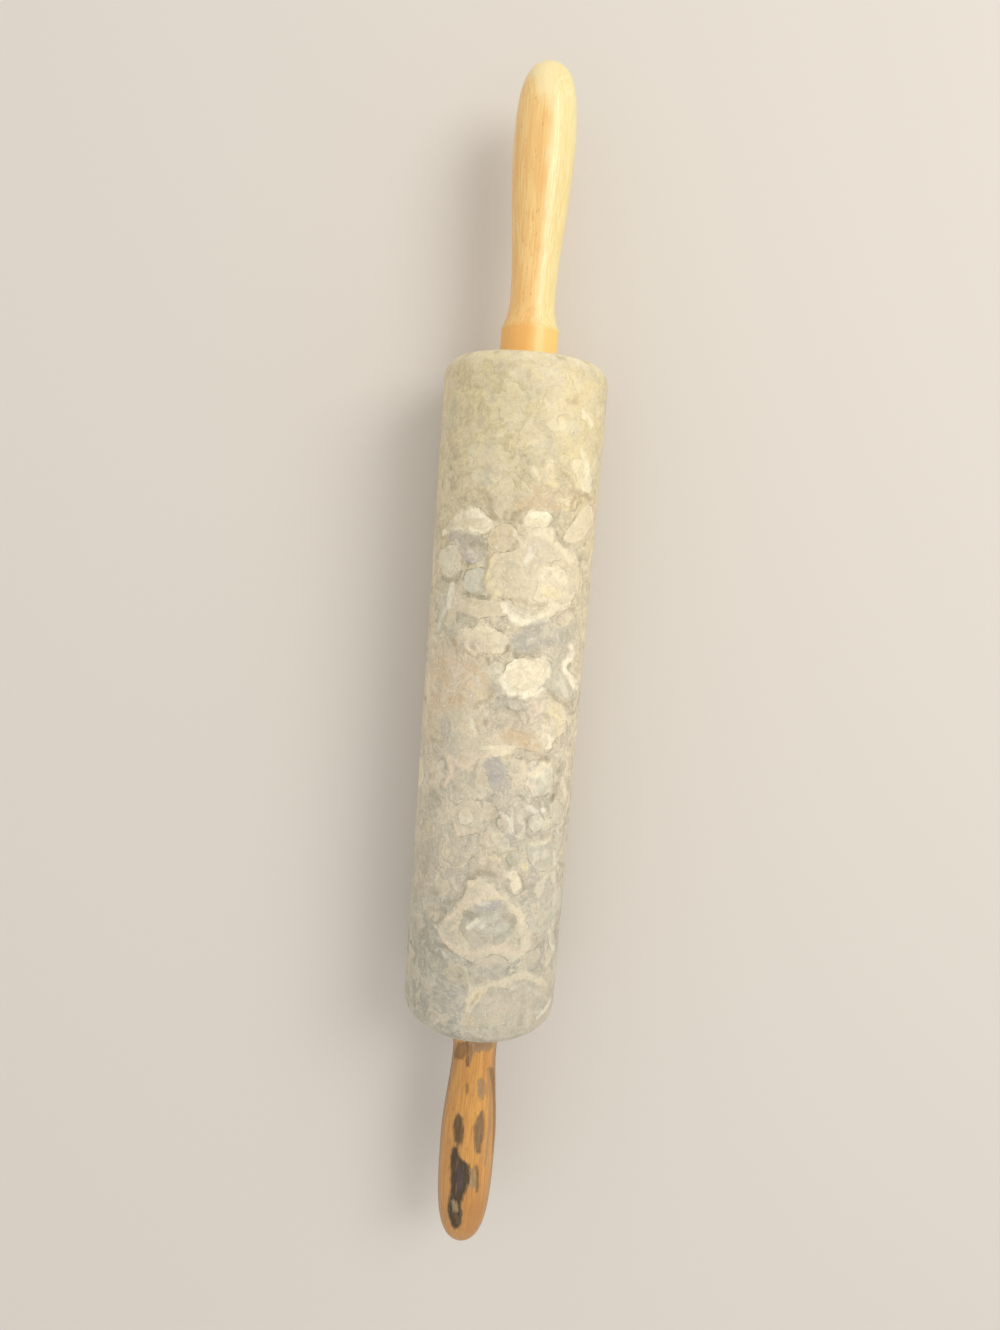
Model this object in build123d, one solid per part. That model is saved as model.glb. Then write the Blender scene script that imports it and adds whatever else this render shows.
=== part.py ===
from build123d import *
import os
from math import radians, tan

# Marble rolling pin: a bored stone barrel that turns on a steel rod, with a turned wooden handle at each end.
# The pin lies along X on the plane Z = 0, with the middle of the barrel over the origin.
# Nearly every form is a half section drawn in X and radius and turned about X, then lifted to the pin's own axis.
# The right end is at plus X. The left end has the same pieces, turned end for end, but for its handle's outside.
# All sizes are in millimetres.

# Barrel: solid marble, ground round, with broad rolled ends. One hole is drilled right through it.
# At each end of the hole there is a shallow recess for the flange of a bush.
barrel_length = 254.0
barrel_diameter = 60.0
barrel_end_radius = 8.0
barrel_bore_diameter = 20.0
barrel_recess_depth = 1.6
barrel_recess_clearance = 0.2
barrel_bore_mouth_chamfer = 0.5

# Bush: a moulded nylon bearing, cored out and ribbed between its hub and its skirt, glued into each end of the bore.
# Its flange lies in the barrel's recess and stands a little proud.
bush_length = 24.0
bush_flange_diameter = 27.0
bush_flange_thickness = 2.0
bush_flange_edge_radius = 0.6
bush_skirt_wall = 1.6
bush_hub_wall = 1.8
bush_web_thickness = 3.0
bush_lead_in = 0.8
bush_bearing_chamfer = 0.4
bush_rib_count = 6
bush_rib_thickness = 1.2
bush_rib_setback = 3.0
bush_glue_gap = 0.1

# Rod: bright steel, turned down to a shoulder, a relief groove and a threaded spigot at each end
rod_diameter = 8.0
rod_spigot_diameter = 6.0
rod_spigot_engagement = 15.0
rod_relief_width = 1.2
rod_relief_depth = 0.5
rod_spigot_chamfer = 0.7
rod_shoulder_chamfer = 0.2
rod_running_clearance = 0.05

# Washer: steel, clamped between the rod's shoulder and the handle, and let into the handle's end
washer_diameter = 16.0
washer_thickness = 1.6
washer_hole_clearance = 0.15
washer_edge_chamfer = 0.25

# Play along the axis between each bush's flange and the washer that faces it
barrel_end_play = 0.4

# Insert: brass, with a fluted head that can't turn in the wood and barbs that hold it in
insert_length = 18.0
insert_diameter = 10.0
insert_head_length = 3.0
insert_flute_count = 12
insert_flute_radius = 0.4
insert_barb_count = 5
insert_barb_depth = 0.6
insert_barb_gap = 0.8
insert_spigot_clearance = 0.05
insert_mouth_chamfer = 0.5

# Handles: turned hardwood, each with a plain collar, a cove down to the neck, a swelling grip and a round nose
handle_length = 100.6
handle_recess_depth = 1.4
handle_recess_clearance = 0.3
handle_collar_diameter = 21.0
handle_base_radius = 0.7
handle_arris_radius = 0.4
handle_socket_clearance = 0.05
handle_pilot_diameter = 6.8
handle_pilot_depth = 26.0
drill_point_angle = 118.0

# Right handle: long and slim in the neck, and widest near its end
right_collar_length = 10.2
right_neck_diameter = 16.3
right_neck_distance = 21.0
right_grip_diameter = 22.0
right_grip_distance = 73.0
right_swell_share = 0.35
right_nose_along_share = 0.72
right_nose_across_share = 0.77

# Left handle: an odd one, shorter in the collar, stouter, and widest at its middle
left_collar_length = 7.0
left_neck_diameter = 17.6
left_neck_distance = 15.5
left_grip_diameter = 22.6
left_grip_distance = 54.0
left_swell_share = 0.3
left_nose_along_share = 0.65
left_nose_across_share = 0.95

# Cutters run past the faces that they cut by this much
overrun = 1.0

# Places along X, measured from the middle of the barrel
barrel_end = barrel_length / 2
flange_seat = barrel_end - barrel_recess_depth
flange_face = flange_seat + bush_flange_thickness
shoulder = flange_face + barrel_end_play
washer_seat = shoulder + washer_thickness
handle_base = washer_seat - handle_recess_depth
spigot_end = washer_seat + rod_spigot_engagement
insert_end = washer_seat + insert_length


def corner(section, place):
    """The corner of a flat section that lies at a place."""
    return section.vertices().sort_by_distance(place)[0]


def marble_barrel():
    """The stone roller, with its rolled ends, its bore and the recesses for the flanges."""
    radius = barrel_diameter / 2
    bore_radius = barrel_bore_diameter / 2
    recess_radius = bush_flange_diameter / 2 + barrel_recess_clearance
    outline = Polyline(
        (-flange_seat, bore_radius),
        (-flange_seat, recess_radius),
        (-barrel_end, recess_radius),
        (-barrel_end, radius),
        (barrel_end, radius),
        (barrel_end, recess_radius),
        (flange_seat, recess_radius),
        (flange_seat, bore_radius),
        close=True,
    )
    section = make_face(outline)
    section = fillet(section.vertices().group_by(Axis.Y)[-1], barrel_end_radius)
    section = chamfer(section.vertices().group_by(Axis.Y)[0], barrel_bore_mouth_chamfer)
    return revolve(section, Axis.X)


def bush():
    """The right-hand bearing bush: a flange outside the barrel, and inside it a hub and a skirt joined by ribs."""
    bearing_radius = rod_diameter / 2 + rod_running_clearance
    hub_radius = bearing_radius + bush_hub_wall
    skirt_radius = barrel_bore_diameter / 2 - bush_glue_gap
    pocket_radius = skirt_radius - bush_skirt_wall
    flange_radius = bush_flange_diameter / 2
    inner_end = flange_seat - bush_length
    pocket_floor = flange_face - bush_web_thickness
    outline = Polyline(
        (inner_end, bearing_radius),
        (inner_end, hub_radius),
        (pocket_floor, hub_radius),
        (pocket_floor, pocket_radius),
        (inner_end, pocket_radius),
        (inner_end, skirt_radius - bush_lead_in),
        (inner_end + bush_lead_in, skirt_radius),
        (flange_seat, skirt_radius),
        (flange_seat, flange_radius),
        (flange_face, flange_radius),
        (flange_face, bearing_radius),
        close=True,
    )
    section = make_face(outline)
    section = fillet(corner(section, (flange_face, flange_radius)), bush_flange_edge_radius)
    section = chamfer(corner(section, (flange_face, bearing_radius)), bush_bearing_chamfer)
    body = revolve(section, Axis.X)
    rib_start = inner_end + bush_rib_setback
    rib_end = pocket_floor + bush_web_thickness / 2
    rib_foot = hub_radius - bush_hub_wall / 2
    rib_head = pocket_radius + bush_skirt_wall / 2
    rib = Box(rib_end - rib_start, bush_rib_thickness, rib_head - rib_foot)
    rib = Pos((rib_start + rib_end) / 2, 0, (rib_foot + rib_head) / 2) * rib
    for number in range(bush_rib_count):
        body += Rot(360 * number / bush_rib_count, 0, 0) * rib
    return body


def axle_rod():
    """The steel rod, drawn from end to end as one stepped outline."""
    rod_radius = rod_diameter / 2
    spigot_radius = rod_spigot_diameter / 2
    relief_radius = spigot_radius - rod_relief_depth
    relief_end = shoulder + rod_relief_width
    right_half = [
        (shoulder - rod_shoulder_chamfer, rod_radius),
        (shoulder, rod_radius - rod_shoulder_chamfer),
        (shoulder, relief_radius),
        (relief_end, relief_radius),
        (relief_end + rod_relief_depth, spigot_radius),
        (spigot_end - rod_spigot_chamfer, spigot_radius),
        (spigot_end, spigot_radius - rod_spigot_chamfer),
        (spigot_end, 0),
    ]
    left_half = [(-place, radius) for place, radius in reversed(right_half)]
    return revolve(make_face(Polyline(*left_half, *right_half, close=True)), Axis.X)


def washer():
    """The right-hand washer, with both of its rims broken."""
    hole_radius = rod_spigot_diameter / 2 + washer_hole_clearance
    rim_radius = washer_diameter / 2
    outline = Polyline(
        (shoulder, hole_radius),
        (shoulder, rim_radius),
        (washer_seat, rim_radius),
        (washer_seat, hole_radius),
        close=True,
    )
    section = make_face(outline)
    section = chamfer(section.vertices().group_by(Axis.Y)[-1], washer_edge_chamfer)
    return revolve(section, Axis.X)


def insert():
    """The right-hand insert: a fluted head at the mouth, then barbs whose steep sides face the mouth."""
    bore_radius = rod_spigot_diameter / 2 + insert_spigot_clearance
    crest = insert_diameter / 2
    root = crest - insert_barb_depth
    head_end = washer_seat + insert_head_length
    pitch = (insert_end - head_end) / insert_barb_count
    outline = [(washer_seat, bore_radius), (washer_seat, crest), (head_end, crest)]
    for number in range(insert_barb_count):
        barb_start = head_end + pitch * number
        outline.append((barb_start, root))
        outline.append((barb_start + insert_barb_gap, root))
        outline.append((barb_start + insert_barb_gap, crest))
    outline.append((insert_end, root))
    outline.append((insert_end, bore_radius))
    section = make_face(Polyline(*outline, close=True))
    section = chamfer(corner(section, (washer_seat, bore_radius)), insert_mouth_chamfer)
    body = revolve(section, Axis.X)
    flute = Cylinder(insert_flute_radius, insert_head_length + 2 * overrun, rotation=(0, 90, 0))
    flute = Pos((washer_seat + head_end) / 2, 0, crest) * flute
    for number in range(insert_flute_count):
        body -= Rot(360 * number / insert_flute_count, 0, 0) * flute
    return body


def handle(collar_length, neck, grip, swell_share, nose_along_share, nose_across_share):
    """A handle at the right end: the turned outside, less the washer's recess, the insert's socket and the pilot hole.
    The neck and the grip are each given by their distance from the handle's base and their diameter."""
    base_corner = (handle_base, handle_collar_diameter / 2)
    collar_corner = (handle_base + collar_length, handle_collar_diameter / 2)
    neck = (handle_base + neck[0], neck[1] / 2)
    grip = (handle_base + grip[0], grip[1] / 2)
    tip = (handle_base + handle_length, 0)
    swell_reach = (grip[0] - neck[0]) * swell_share
    nose_reach = (tip[0] - grip[0]) * nose_along_share
    outline = Curve() + [
        Polyline(tip, (handle_base, 0), base_corner, collar_corner),
        TangentArc(neck, collar_corner, tangent=(-1, 0)),
        Bezier(neck, (neck[0] + swell_reach, neck[1]), (grip[0] - swell_reach, grip[1]), grip),
        Bezier(grip, (grip[0] + nose_reach, grip[1]), (tip[0], grip[1] * nose_across_share), tip),
    ]
    section = make_face(outline)
    section = fillet(corner(section, base_corner), handle_base_radius)
    section = fillet(corner(section, collar_corner), handle_arris_radius)
    recess_radius = washer_diameter / 2 + handle_recess_clearance
    socket_radius = insert_diameter / 2 + handle_socket_clearance
    pilot_radius = handle_pilot_diameter / 2
    pilot_end = washer_seat + handle_pilot_depth
    hole_outline = Polyline(
        (handle_base - overrun, 0),
        (handle_base - overrun, recess_radius),
        (washer_seat, recess_radius),
        (washer_seat, socket_radius),
        (insert_end, socket_radius),
        (insert_end, pilot_radius),
        (pilot_end, pilot_radius),
        (pilot_end + pilot_radius / tan(radians(drill_point_angle / 2)), 0),
        close=True,
    )
    return revolve(section, Axis.X) - revolve(make_face(hole_outline), Axis.X)


def write(name, piece):
    """Lifts a piece so that the barrel rests on the plane Z = 0, and writes it as a STEP file."""
    export_step(Pos(0, 0, barrel_diameter / 2) * piece, os.path.join("parts", name + ".step"))


os.makedirs("parts", exist_ok=True)
write("marble_barrel", marble_barrel())
write("axle_rod", axle_rod())
right_handle = handle(
    right_collar_length,
    (right_neck_distance, right_neck_diameter),
    (right_grip_distance, right_grip_diameter),
    right_swell_share,
    right_nose_along_share,
    right_nose_across_share,
)
left_handle = handle(
    left_collar_length,
    (left_neck_distance, left_neck_diameter),
    (left_grip_distance, left_grip_diameter),
    left_swell_share,
    left_nose_along_share,
    left_nose_across_share,
)
right_pieces = {"bush": bush(), "washer": washer(), "insert": insert(), "handle": right_handle}
left_pieces = {**right_pieces, "handle": left_handle}
for piece_name, piece in right_pieces.items():
    write("right_" + piece_name, piece)
for piece_name, piece in left_pieces.items():
    write("left_" + piece_name, Rot(0, 0, 180) * piece)
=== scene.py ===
from math import asin, ceil, cos, pi, radians, sin, tan, tau
from random import Random
import bmesh
import bpy
import numpy as np
from mathutils import Matrix, Vector
from mathutils.geometry import interpolate_bezier
from mathutils.noise import noise


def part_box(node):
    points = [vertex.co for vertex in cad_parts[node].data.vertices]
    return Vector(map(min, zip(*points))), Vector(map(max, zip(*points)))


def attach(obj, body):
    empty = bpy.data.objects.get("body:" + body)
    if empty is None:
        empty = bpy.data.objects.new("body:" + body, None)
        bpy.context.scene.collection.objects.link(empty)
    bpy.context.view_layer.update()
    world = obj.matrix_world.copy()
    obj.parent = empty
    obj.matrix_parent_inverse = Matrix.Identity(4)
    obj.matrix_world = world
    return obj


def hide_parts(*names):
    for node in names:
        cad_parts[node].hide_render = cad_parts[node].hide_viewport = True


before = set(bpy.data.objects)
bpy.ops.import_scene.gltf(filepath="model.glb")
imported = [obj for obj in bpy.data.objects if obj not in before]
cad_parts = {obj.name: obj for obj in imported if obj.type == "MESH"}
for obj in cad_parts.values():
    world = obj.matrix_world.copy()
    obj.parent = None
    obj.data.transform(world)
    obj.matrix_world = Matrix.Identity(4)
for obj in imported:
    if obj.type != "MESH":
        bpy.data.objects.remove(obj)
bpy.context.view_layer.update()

# Camera, floor and light
# The camera stands nearly over the pin, a little past its middle, and looks down and back along it. The floor
# is a plain pale board. A wide soft lamp stands to the right of the picture, and the world fills the shade.
camera_place = Vector((0.06546, 0.00342, 0.38361))
camera_aim = Vector((0.0102, 0.0015, 0))
camera_lens = 25.2
nearest_seen = 0.01
picture_turn = radians(4.35)
floor_reach = 3.0
floor_roughness = 0.8
lamp_place = Vector((0.55, -0.75, 1.0))
lamp_size = 0.7
lamp_power = 7.6
lamp_colour = (1.0, 0.975, 0.94)
sky_colour = (1.0, 0.99, 0.985, 1)
sky_strength = 0.78
backdrop_strength = 0.85


def paint(red, green, blue):
    """A colour as a screen shows it, 0 to 255 a channel, given as the linear colour that a material takes."""
    shares = [channel / 255 for channel in (red, green, blue)]
    return (*[s / 12.92 if s <= 0.04045 else ((s + 0.055) / 1.055) ** 2.4 for s in shares], 1)


def add(tree, kind, inputs=None, **settings):
    """A node in a node tree. An input is named or numbered, and takes a value or another node's output."""
    node = tree.nodes.new("ShaderNode" + kind)
    for name, value in settings.items():
        setattr(node, name, value)
    for socket, value in (inputs or {}).items():
        if isinstance(value, bpy.types.NodeSocket):
            tree.links.new(value, node.inputs[socket])
        else:
            node.inputs[socket].default_value = value
    return node


def finish_named(name):
    """A new material, with its node tree and its shader."""
    material = bpy.data.materials.new(name)
    material.use_nodes = True
    return material, material.node_tree, material.node_tree.nodes["Principled BSDF"]


picture_top = Vector((cos(picture_turn), sin(picture_turn), 0))
back = (camera_place - camera_aim).normalized()
right = picture_top.cross(back).normalized()
camera_turn = Matrix((right, back.cross(right), back)).transposed().to_4x4()
camera_data = bpy.data.cameras.new("camera")
camera_data.lens = camera_lens
camera_data.clip_start = nearest_seen
camera = bpy.data.objects.new("camera", camera_data)
camera.matrix_world = Matrix.Translation(camera_place) @ camera_turn
bpy.context.collection.objects.link(camera)
bpy.context.scene.camera = camera
bpy.context.scene.view_settings.view_transform = "Standard"

floor_paint, tree, shader = finish_named("pale board")
shader.inputs["Base Color"].default_value = paint(218, 211, 200)
shader.inputs["Roughness"].default_value = floor_roughness
board = bmesh.new()
bmesh.ops.create_grid(board, x_segments=1, y_segments=1, size=floor_reach)
board_mesh = bpy.data.meshes.new("floor")
board.to_mesh(board_mesh)
board.free()
board_mesh.materials.append(floor_paint)
floor = bpy.data.objects.new("floor", board_mesh)
bpy.context.collection.objects.link(floor)

lamp_data = bpy.data.lights.new("lamp", "AREA")
lamp_data.size = lamp_size
lamp_data.energy = lamp_power
lamp_data.color = lamp_colour
lamp = bpy.data.objects.new("lamp", lamp_data)
lamp.location = lamp_place
lamp.rotation_mode = "QUATERNION"
lamp.rotation_quaternion = lamp_place.to_track_quat("Z", "Y")
bpy.context.collection.objects.link(lamp)

sky = bpy.data.worlds.new("sky")
sky.use_nodes = True
tree = sky.node_tree
paths = add(tree, "LightPath").outputs
in_view = paths["Is Camera Ray"]
for kind in ("Is Glossy Ray", "Is Transmission Ray"):
    in_view = add(tree, "Math", {0: in_view, 1: paths[kind]}, operation="MAXIMUM").outputs[0]
strengths = {"Value": in_view, "To Min": sky_strength, "To Max": backdrop_strength}
background = tree.nodes["Background"]
background.inputs["Color"].default_value = sky_colour
tree.links.new(add(tree, "MapRange", strengths).outputs[0], background.inputs["Strength"])
bpy.context.scene.world = sky

# Barrel
# The roller is one solid piece of beige and grey marble full of paler, rimmed lumps. It is bored right
# through, ground round with broadly rolled ends, and honed. Use has left small pits and nicked its ends.
low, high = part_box("marble_barrel")
axis_height = (low.z + high.z) / 2
barrel_end = high.x
barrel_radius = high.z - axis_height
barrel_rounding = 0.008
barrel_recess_radius = 0.0137
barrel_recess_depth = 0.0016
bore_radius = 0.010
bore_mouth_chamfer = 0.0005
barrel_facets = 256
barrel_pace = 0.0008
barrel_plain_radius = 0.0138
rounding_facets = 8
spun_share = 16
merged_within = 1e-7
sharpest_smooth = radians(35)


def turned(outline, facets, pace, plain_radius):
    """A form turned about the pin's axis from an outline of corners, each a place along the pin, a radius and
    a rounding. Stretches are divided into steps no longer than the pace, apart from those that lie within the
    plain radius. One sixteenth of the turn is spun, and then doubled four times."""
    form = bmesh.new()
    corners = [form.verts.new((place, 0, axis_height + radius)) for place, radius, _ in outline]
    closing = [corners[0]] if outline[0][1] > 0 else []
    for first, second in zip(corners, corners[1:] + closing):
        form.edges.new((first, second))
    for wanted in sorted({rounding for _, _, rounding in outline if rounding}):
        rounded = [corner for corner, (_, _, rounding) in zip(corners, outline) if rounding == wanted]
        bmesh.ops.bevel(
            form, geom=rounded, offset=wanted, offset_type="OFFSET", segments=rounding_facets, profile=0.5,
            affect="VERTICES", material=-1,
        )
    for edge in list(form.edges):
        cuts = ceil(edge.calc_length() / pace) - 1
        if cuts > 0 and max(vertex.co.z for vertex in edge.verts) > axis_height + plain_radius:
            bmesh.ops.subdivide_edges(form, edges=[edge], cuts=cuts)
    centre = (0, 0, axis_height)
    bmesh.ops.spin(
        form, geom=form.verts[:] + form.edges[:], cent=centre, axis=(1, 0, 0), angle=tau / spun_share,
        steps=facets // spun_share, use_merge=False, use_duplicate=False,
    )
    for doubling in range(4):
        made = bmesh.ops.duplicate(form, geom=form.verts[:] + form.edges[:] + form.faces[:])["geom"]
        copied = [part for part in made if isinstance(part, bmesh.types.BMVert)]
        turn = Matrix.Rotation(tau / spun_share * 2 ** doubling, 3, "X")
        bmesh.ops.rotate(form, verts=copied, cent=centre, matrix=turn)
    bmesh.ops.remove_doubles(form, verts=form.verts, dist=merged_within)
    bmesh.ops.recalc_face_normals(form, faces=form.faces)
    return form


def piece_from(form, name, material, body, node):
    """The finished piece, smooth but for its sharp edges, riding on its body in place of its CAD node."""
    for face in form.faces:
        face.smooth = True
    for edge in form.edges:
        edge.smooth = edge.calc_face_angle(0) < sharpest_smooth
    mesh = bpy.data.meshes.new(name)
    form.to_mesh(mesh)
    form.free()
    mesh.materials.append(material)
    piece = bpy.data.objects.new(name, mesh)
    bpy.context.collection.objects.link(piece)
    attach(piece, body)
    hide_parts(node)
    return piece


def effect(name, inputs, outputs):
    """A node group with named inputs and outputs, returned with the sockets that its nodes join."""
    group = bpy.data.node_groups.new(name, "ShaderNodeTree")
    for way, sockets in (("INPUT", inputs), ("OUTPUT", outputs)):
        for label, kind in sockets.items():
            group.interface.new_socket(label, in_out=way, socket_type="NodeSocket" + kind)
    taken = group.nodes.new("NodeGroupInput").outputs
    given = group.nodes.new("NodeGroupOutput").inputs
    return group, taken, given


def sums(tree, operation, first, second=0.0, third=0.0, clamp=False):
    """One step of arithmetic on values."""
    given = {0: first, 1: second, 2: third}
    return add(tree, "Math", given, operation=operation, use_clamp=clamp).outputs[0]


def times(tree, first, second):
    """One value times another."""
    return sums(tree, "MULTIPLY", first, second)


def shifts(tree, operation, first, second, third=(0, 0, 0)):
    """One step of arithmetic on places or colours."""
    given = {0: first, 1: second, 2: third}
    return add(tree, "VectorMath", given, operation=operation).outputs[0]


def scaled(tree, value, factor):
    """A place or a colour times a factor."""
    return add(tree, "VectorMath", {0: value, "Scale": factor}, operation="SCALE").outputs[0]


def ramp(tree, value, start, end, low=0.0, high=1.0):
    """A value carried smoothly from low to high as it goes from start to end."""
    given = {"Value": value, "From Min": start, "From Max": end, "To Min": low, "To Max": high}
    return add(tree, "MapRange", given, interpolation_type="SMOOTHSTEP").outputs[0]


def over(tree, share, under, upper):
    """One colour laid over another by a share."""
    return add(tree, "Mix", {0: share, 6: under, 7: upper}, data_type="RGBA").outputs[2]


def cloud(tree, place, scale, detail=3.0, roughness=0.55):
    """Soft noise, as a value and a colour. The scale is in features per unit of the place."""
    given = {"Vector": place, "Scale": scale, "Detail": detail, "Roughness": roughness}
    return add(tree, "TexNoise", given)


def parted(tree, pattern):
    """The three values in a pattern's colour."""
    return add(tree, "SeparateColor", {0: pattern.outputs["Color"]}).outputs


def dress(tree, shader, colour, roughness, height, strength, depth):
    """Joins a colour, a roughness and a height to a material's shader. The bumps' depth is in metres."""
    bump = add(tree, "Bump", {"Height": height, "Strength": strength, "Distance": depth}).outputs[0]
    for socket, value in (("Base Color", colour), ("Roughness", roughness), ("Normal", bump)):
        tree.links.new(value, shader.inputs[socket])


stone = {
    "white": paint(255, 245, 214),
    "chalk": paint(244, 236, 214),
    "bright": paint(243, 229, 193),
    "butter": paint(238, 220, 168),
    "cream": paint(233, 218, 184),
    "sand": paint(224, 208, 174),
    "buff": paint(211, 198, 172),
    "drab": paint(198, 185, 160),
    "pink": paint(234, 213, 184),
    "rose": paint(214, 197, 172),
    "flesh": paint(224, 197, 162),
    "tan": paint(215, 194, 156),
    "orange": paint(207, 180, 141),
    "brown": paint(165, 143, 108),
    "willow": paint(232, 223, 195),
    "sage": paint(212, 206, 183),
    "moss": paint(196, 190, 167),
    "dusk": paint(170, 163, 146),
    "grey": paint(180, 173, 156),
    "lavender": paint(181, 173, 162),
    "olive": paint(164, 153, 123),
    "dark": paint(140, 129, 103),
}

# Soft stains, drawn where the real stone has them, with painted shade and painted highlight among them: tone,
# cover, and corners as places along and round the stone from its top, in millimetres
stains_and_painted_light = [
    ("orange", 0.5, [(83, -5), (84, -9), (81, -15), (76, -16), (72, -12), (72, -2), (75, 0), (78, -2)]),
    ("buff", 0.45, [(89, 12), (90, 7), (87, 4), (82, 4), (81, 8), (84, 12)]),
    ("drab", 0.45, [(91, 33), (93, 25), (87, 21), (79, 22), (78, 29), (85, 33)]),
    ("butter", 0.5, [(122, -13), (121, -26), (109, -30), (105, -20), (108, -14), (116, -11)]),
    ("tan", 0.35, [(123, 2), (123, -6), (119, -8), (116, -3), (118, 1)]),
    ("orange", 0.6, [(79, 1), (82, -8), (80, -14), (75, -15), (74, -9), (72, -1), (75, 1)]),
    ("tan", 0.5, [(80, -14), (86, -33), (62, -38), (61, -26), (62, -18), (71, -15)]),
    ("moss", 0.75, [(35, 0), (34, -6), (35, -12), (39, -18), (38, -30), (31, -33), (24, -29), (7, -29),
     (8, -22), (19, -17), (22, -10), (23, -3), (29, -1)]),
    ("moss", 0.6, [(46, 37), (47, 20), (43, 17), (30, 19), (26, 20), (25, 33)]),
    ("sand", 0.75, [(20, 36), (25, 27), (23, 20), (22, 13), (21, 7), (16, 5), (10, 7), (5, 4), (1, 33)]),
    ("buff", 0.6, [(21, 7), (21, 2), (16, 0), (8, 1), (6, 5), (11, 7), (16, 4)]),
    ("sand", 0.8, [(4, 39), (10, 5), (7, 4), (2, 7), (-5, 9), (-6, -1), (-8, -14), (-13, -16), (-11, -6),
     (-14, -1), (-16, 7), (-21, 13), (-6, 16), (-12, 24), (-15, 39)]),
    ("drab", 0.7, [(6, 4), (8, -1), (7, -8), (8, -14), (3, -14), (-1, -8), (-2, -2), (1, 2)]),
    ("grey", 0.7, [(-17, 5), (-29, -2), (-30, -9), (-30, -24), (-36, -30), (-47, -29), (-45, -14),
     (-51, -9), (-47, -4), (-38, -1), (-30, 1)]),
    ("drab", 0.6, [(-19, 17), (-18, 7), (-23, 3), (-29, 4), (-31, 12), (-28, 18)]),
    ("drab", 0.5, [(-42, 17), (-45, 5), (-48, -4), (-60, -5), (-61, 7), (-57, 17)]),
    ("moss", 0.5, [(-39, 38), (-33, 19), (-41, 16), (-57, 20), (-70, 36), (-51, 42)]),
    # This grey and the next are partly the stone's grey, partly painted shade on the side away from the lamp
    ("grey", 0.45, [(-66, 39), (-60, 10), (-68, 9), (-77, 16), (-85, 18), (-92, 35)]),
    ("grey", 0.55, [(-93, 35), (-87, 15), (-91, 9), (-101, 3), (-112, 7), (-122, 7), (-120, 21),
     (-114, 33)]),
    ("grey", 0.5, [(-53, -12), (-58, -37), (-89, -39), (-98, -33), (-94, -18), (-83, -19), (-71, -14),
     (-65, -12)]),
    ("butter", 0.8, [(119.8, -11.1), (121.1, -27.6), (113.4, -30.5), (99.6, -30.1), (78.7, -31.1),
     (78, -22.4), (88, -18.3), (97.4, -11.7), (110.4, -9)]),
    ("pink", 0.5, [(121.9, 0.2), (123.4, -5.4), (120.3, -9.6), (114.2, -7.9), (113.1, -3.2), (116.7, 0.5)]),
    ("flesh", 0.9, [(16.3, 40.9), (19.6, 24.5), (19.2, 17.1), (18.7, 9.8), (15.5, 6.9), (9.5, 6.1),
     (5.3, 8), (3, 11.6), (3.6, 17), (-3, 24.9), (-6.5, 41.3), (3.8, 40.4)]),
    ("orange", 0.5, [(5.7, 30), (7.1, 22.1), (6.3, 16), (4.4, 11.7), (0.6, 13), (0.9, 20), (1.6, 28)]),
    ("flesh", 0.6, [(-5.1, 0), (-2.6, -7), (-4.8, -15), (-9.6, -15.4), (-9.9, -7.6), (-8.6, -1.7)]),
    ("tan", 0.7, [(-48.7, 6.2), (-47.3, 0.4), (-50.9, -3.9), (-55, -3.8), (-56.7, -0.3), (-56.3, 3.4),
     (-53.2, 5.8)]),
    ("drab", 0.6, [(-43.4, 38.4), (-36.7, 23.7), (-43.9, 16.2), (-50.1, 9.9), (-63.4, 9.7), (-73.3, 18.3),
     (-76.9, 33.5), (-60, 42.1)]),
    # Partly the stone's dusk, partly painted shade on the side away from the lamp towards the amber end
    ("dusk", 0.8, [(-81.7, 40.2), (-78.6, 18.8), (-86.7, 17.1), (-91.3, 7.6), (-101.3, 3.8), (-111.6, 6.1),
     (-118.4, 8.3), (-118.7, 19.3), (-112.8, 31.6), (-95.9, 39.6)]),
    ("sage", 0.6, [(-56.9, -17), (-57.5, -24.5), (-72.3, -32.5), (-84.3, -32.1), (-83.5, -23.3),
     (-70.6, -17.9)]),
    ("rose", 0.4, [(-102.8, 0), (-104.5, -15.8), (-112.3, -30.5), (-119.6, -28), (-117.1, -8.6),
     (-112.7, 0)]),
    # Painted highlight on the rolled ends: white by the honey handle, a faint chalk by the amber one
    ("white", 0.9, [(124, -95), (124, 95), (136, 95), (136, -95)]),
    ("chalk", 0.35, [(-125, -95), (-125, 95), (-136, 95), (-136, -95)]),
]
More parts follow.
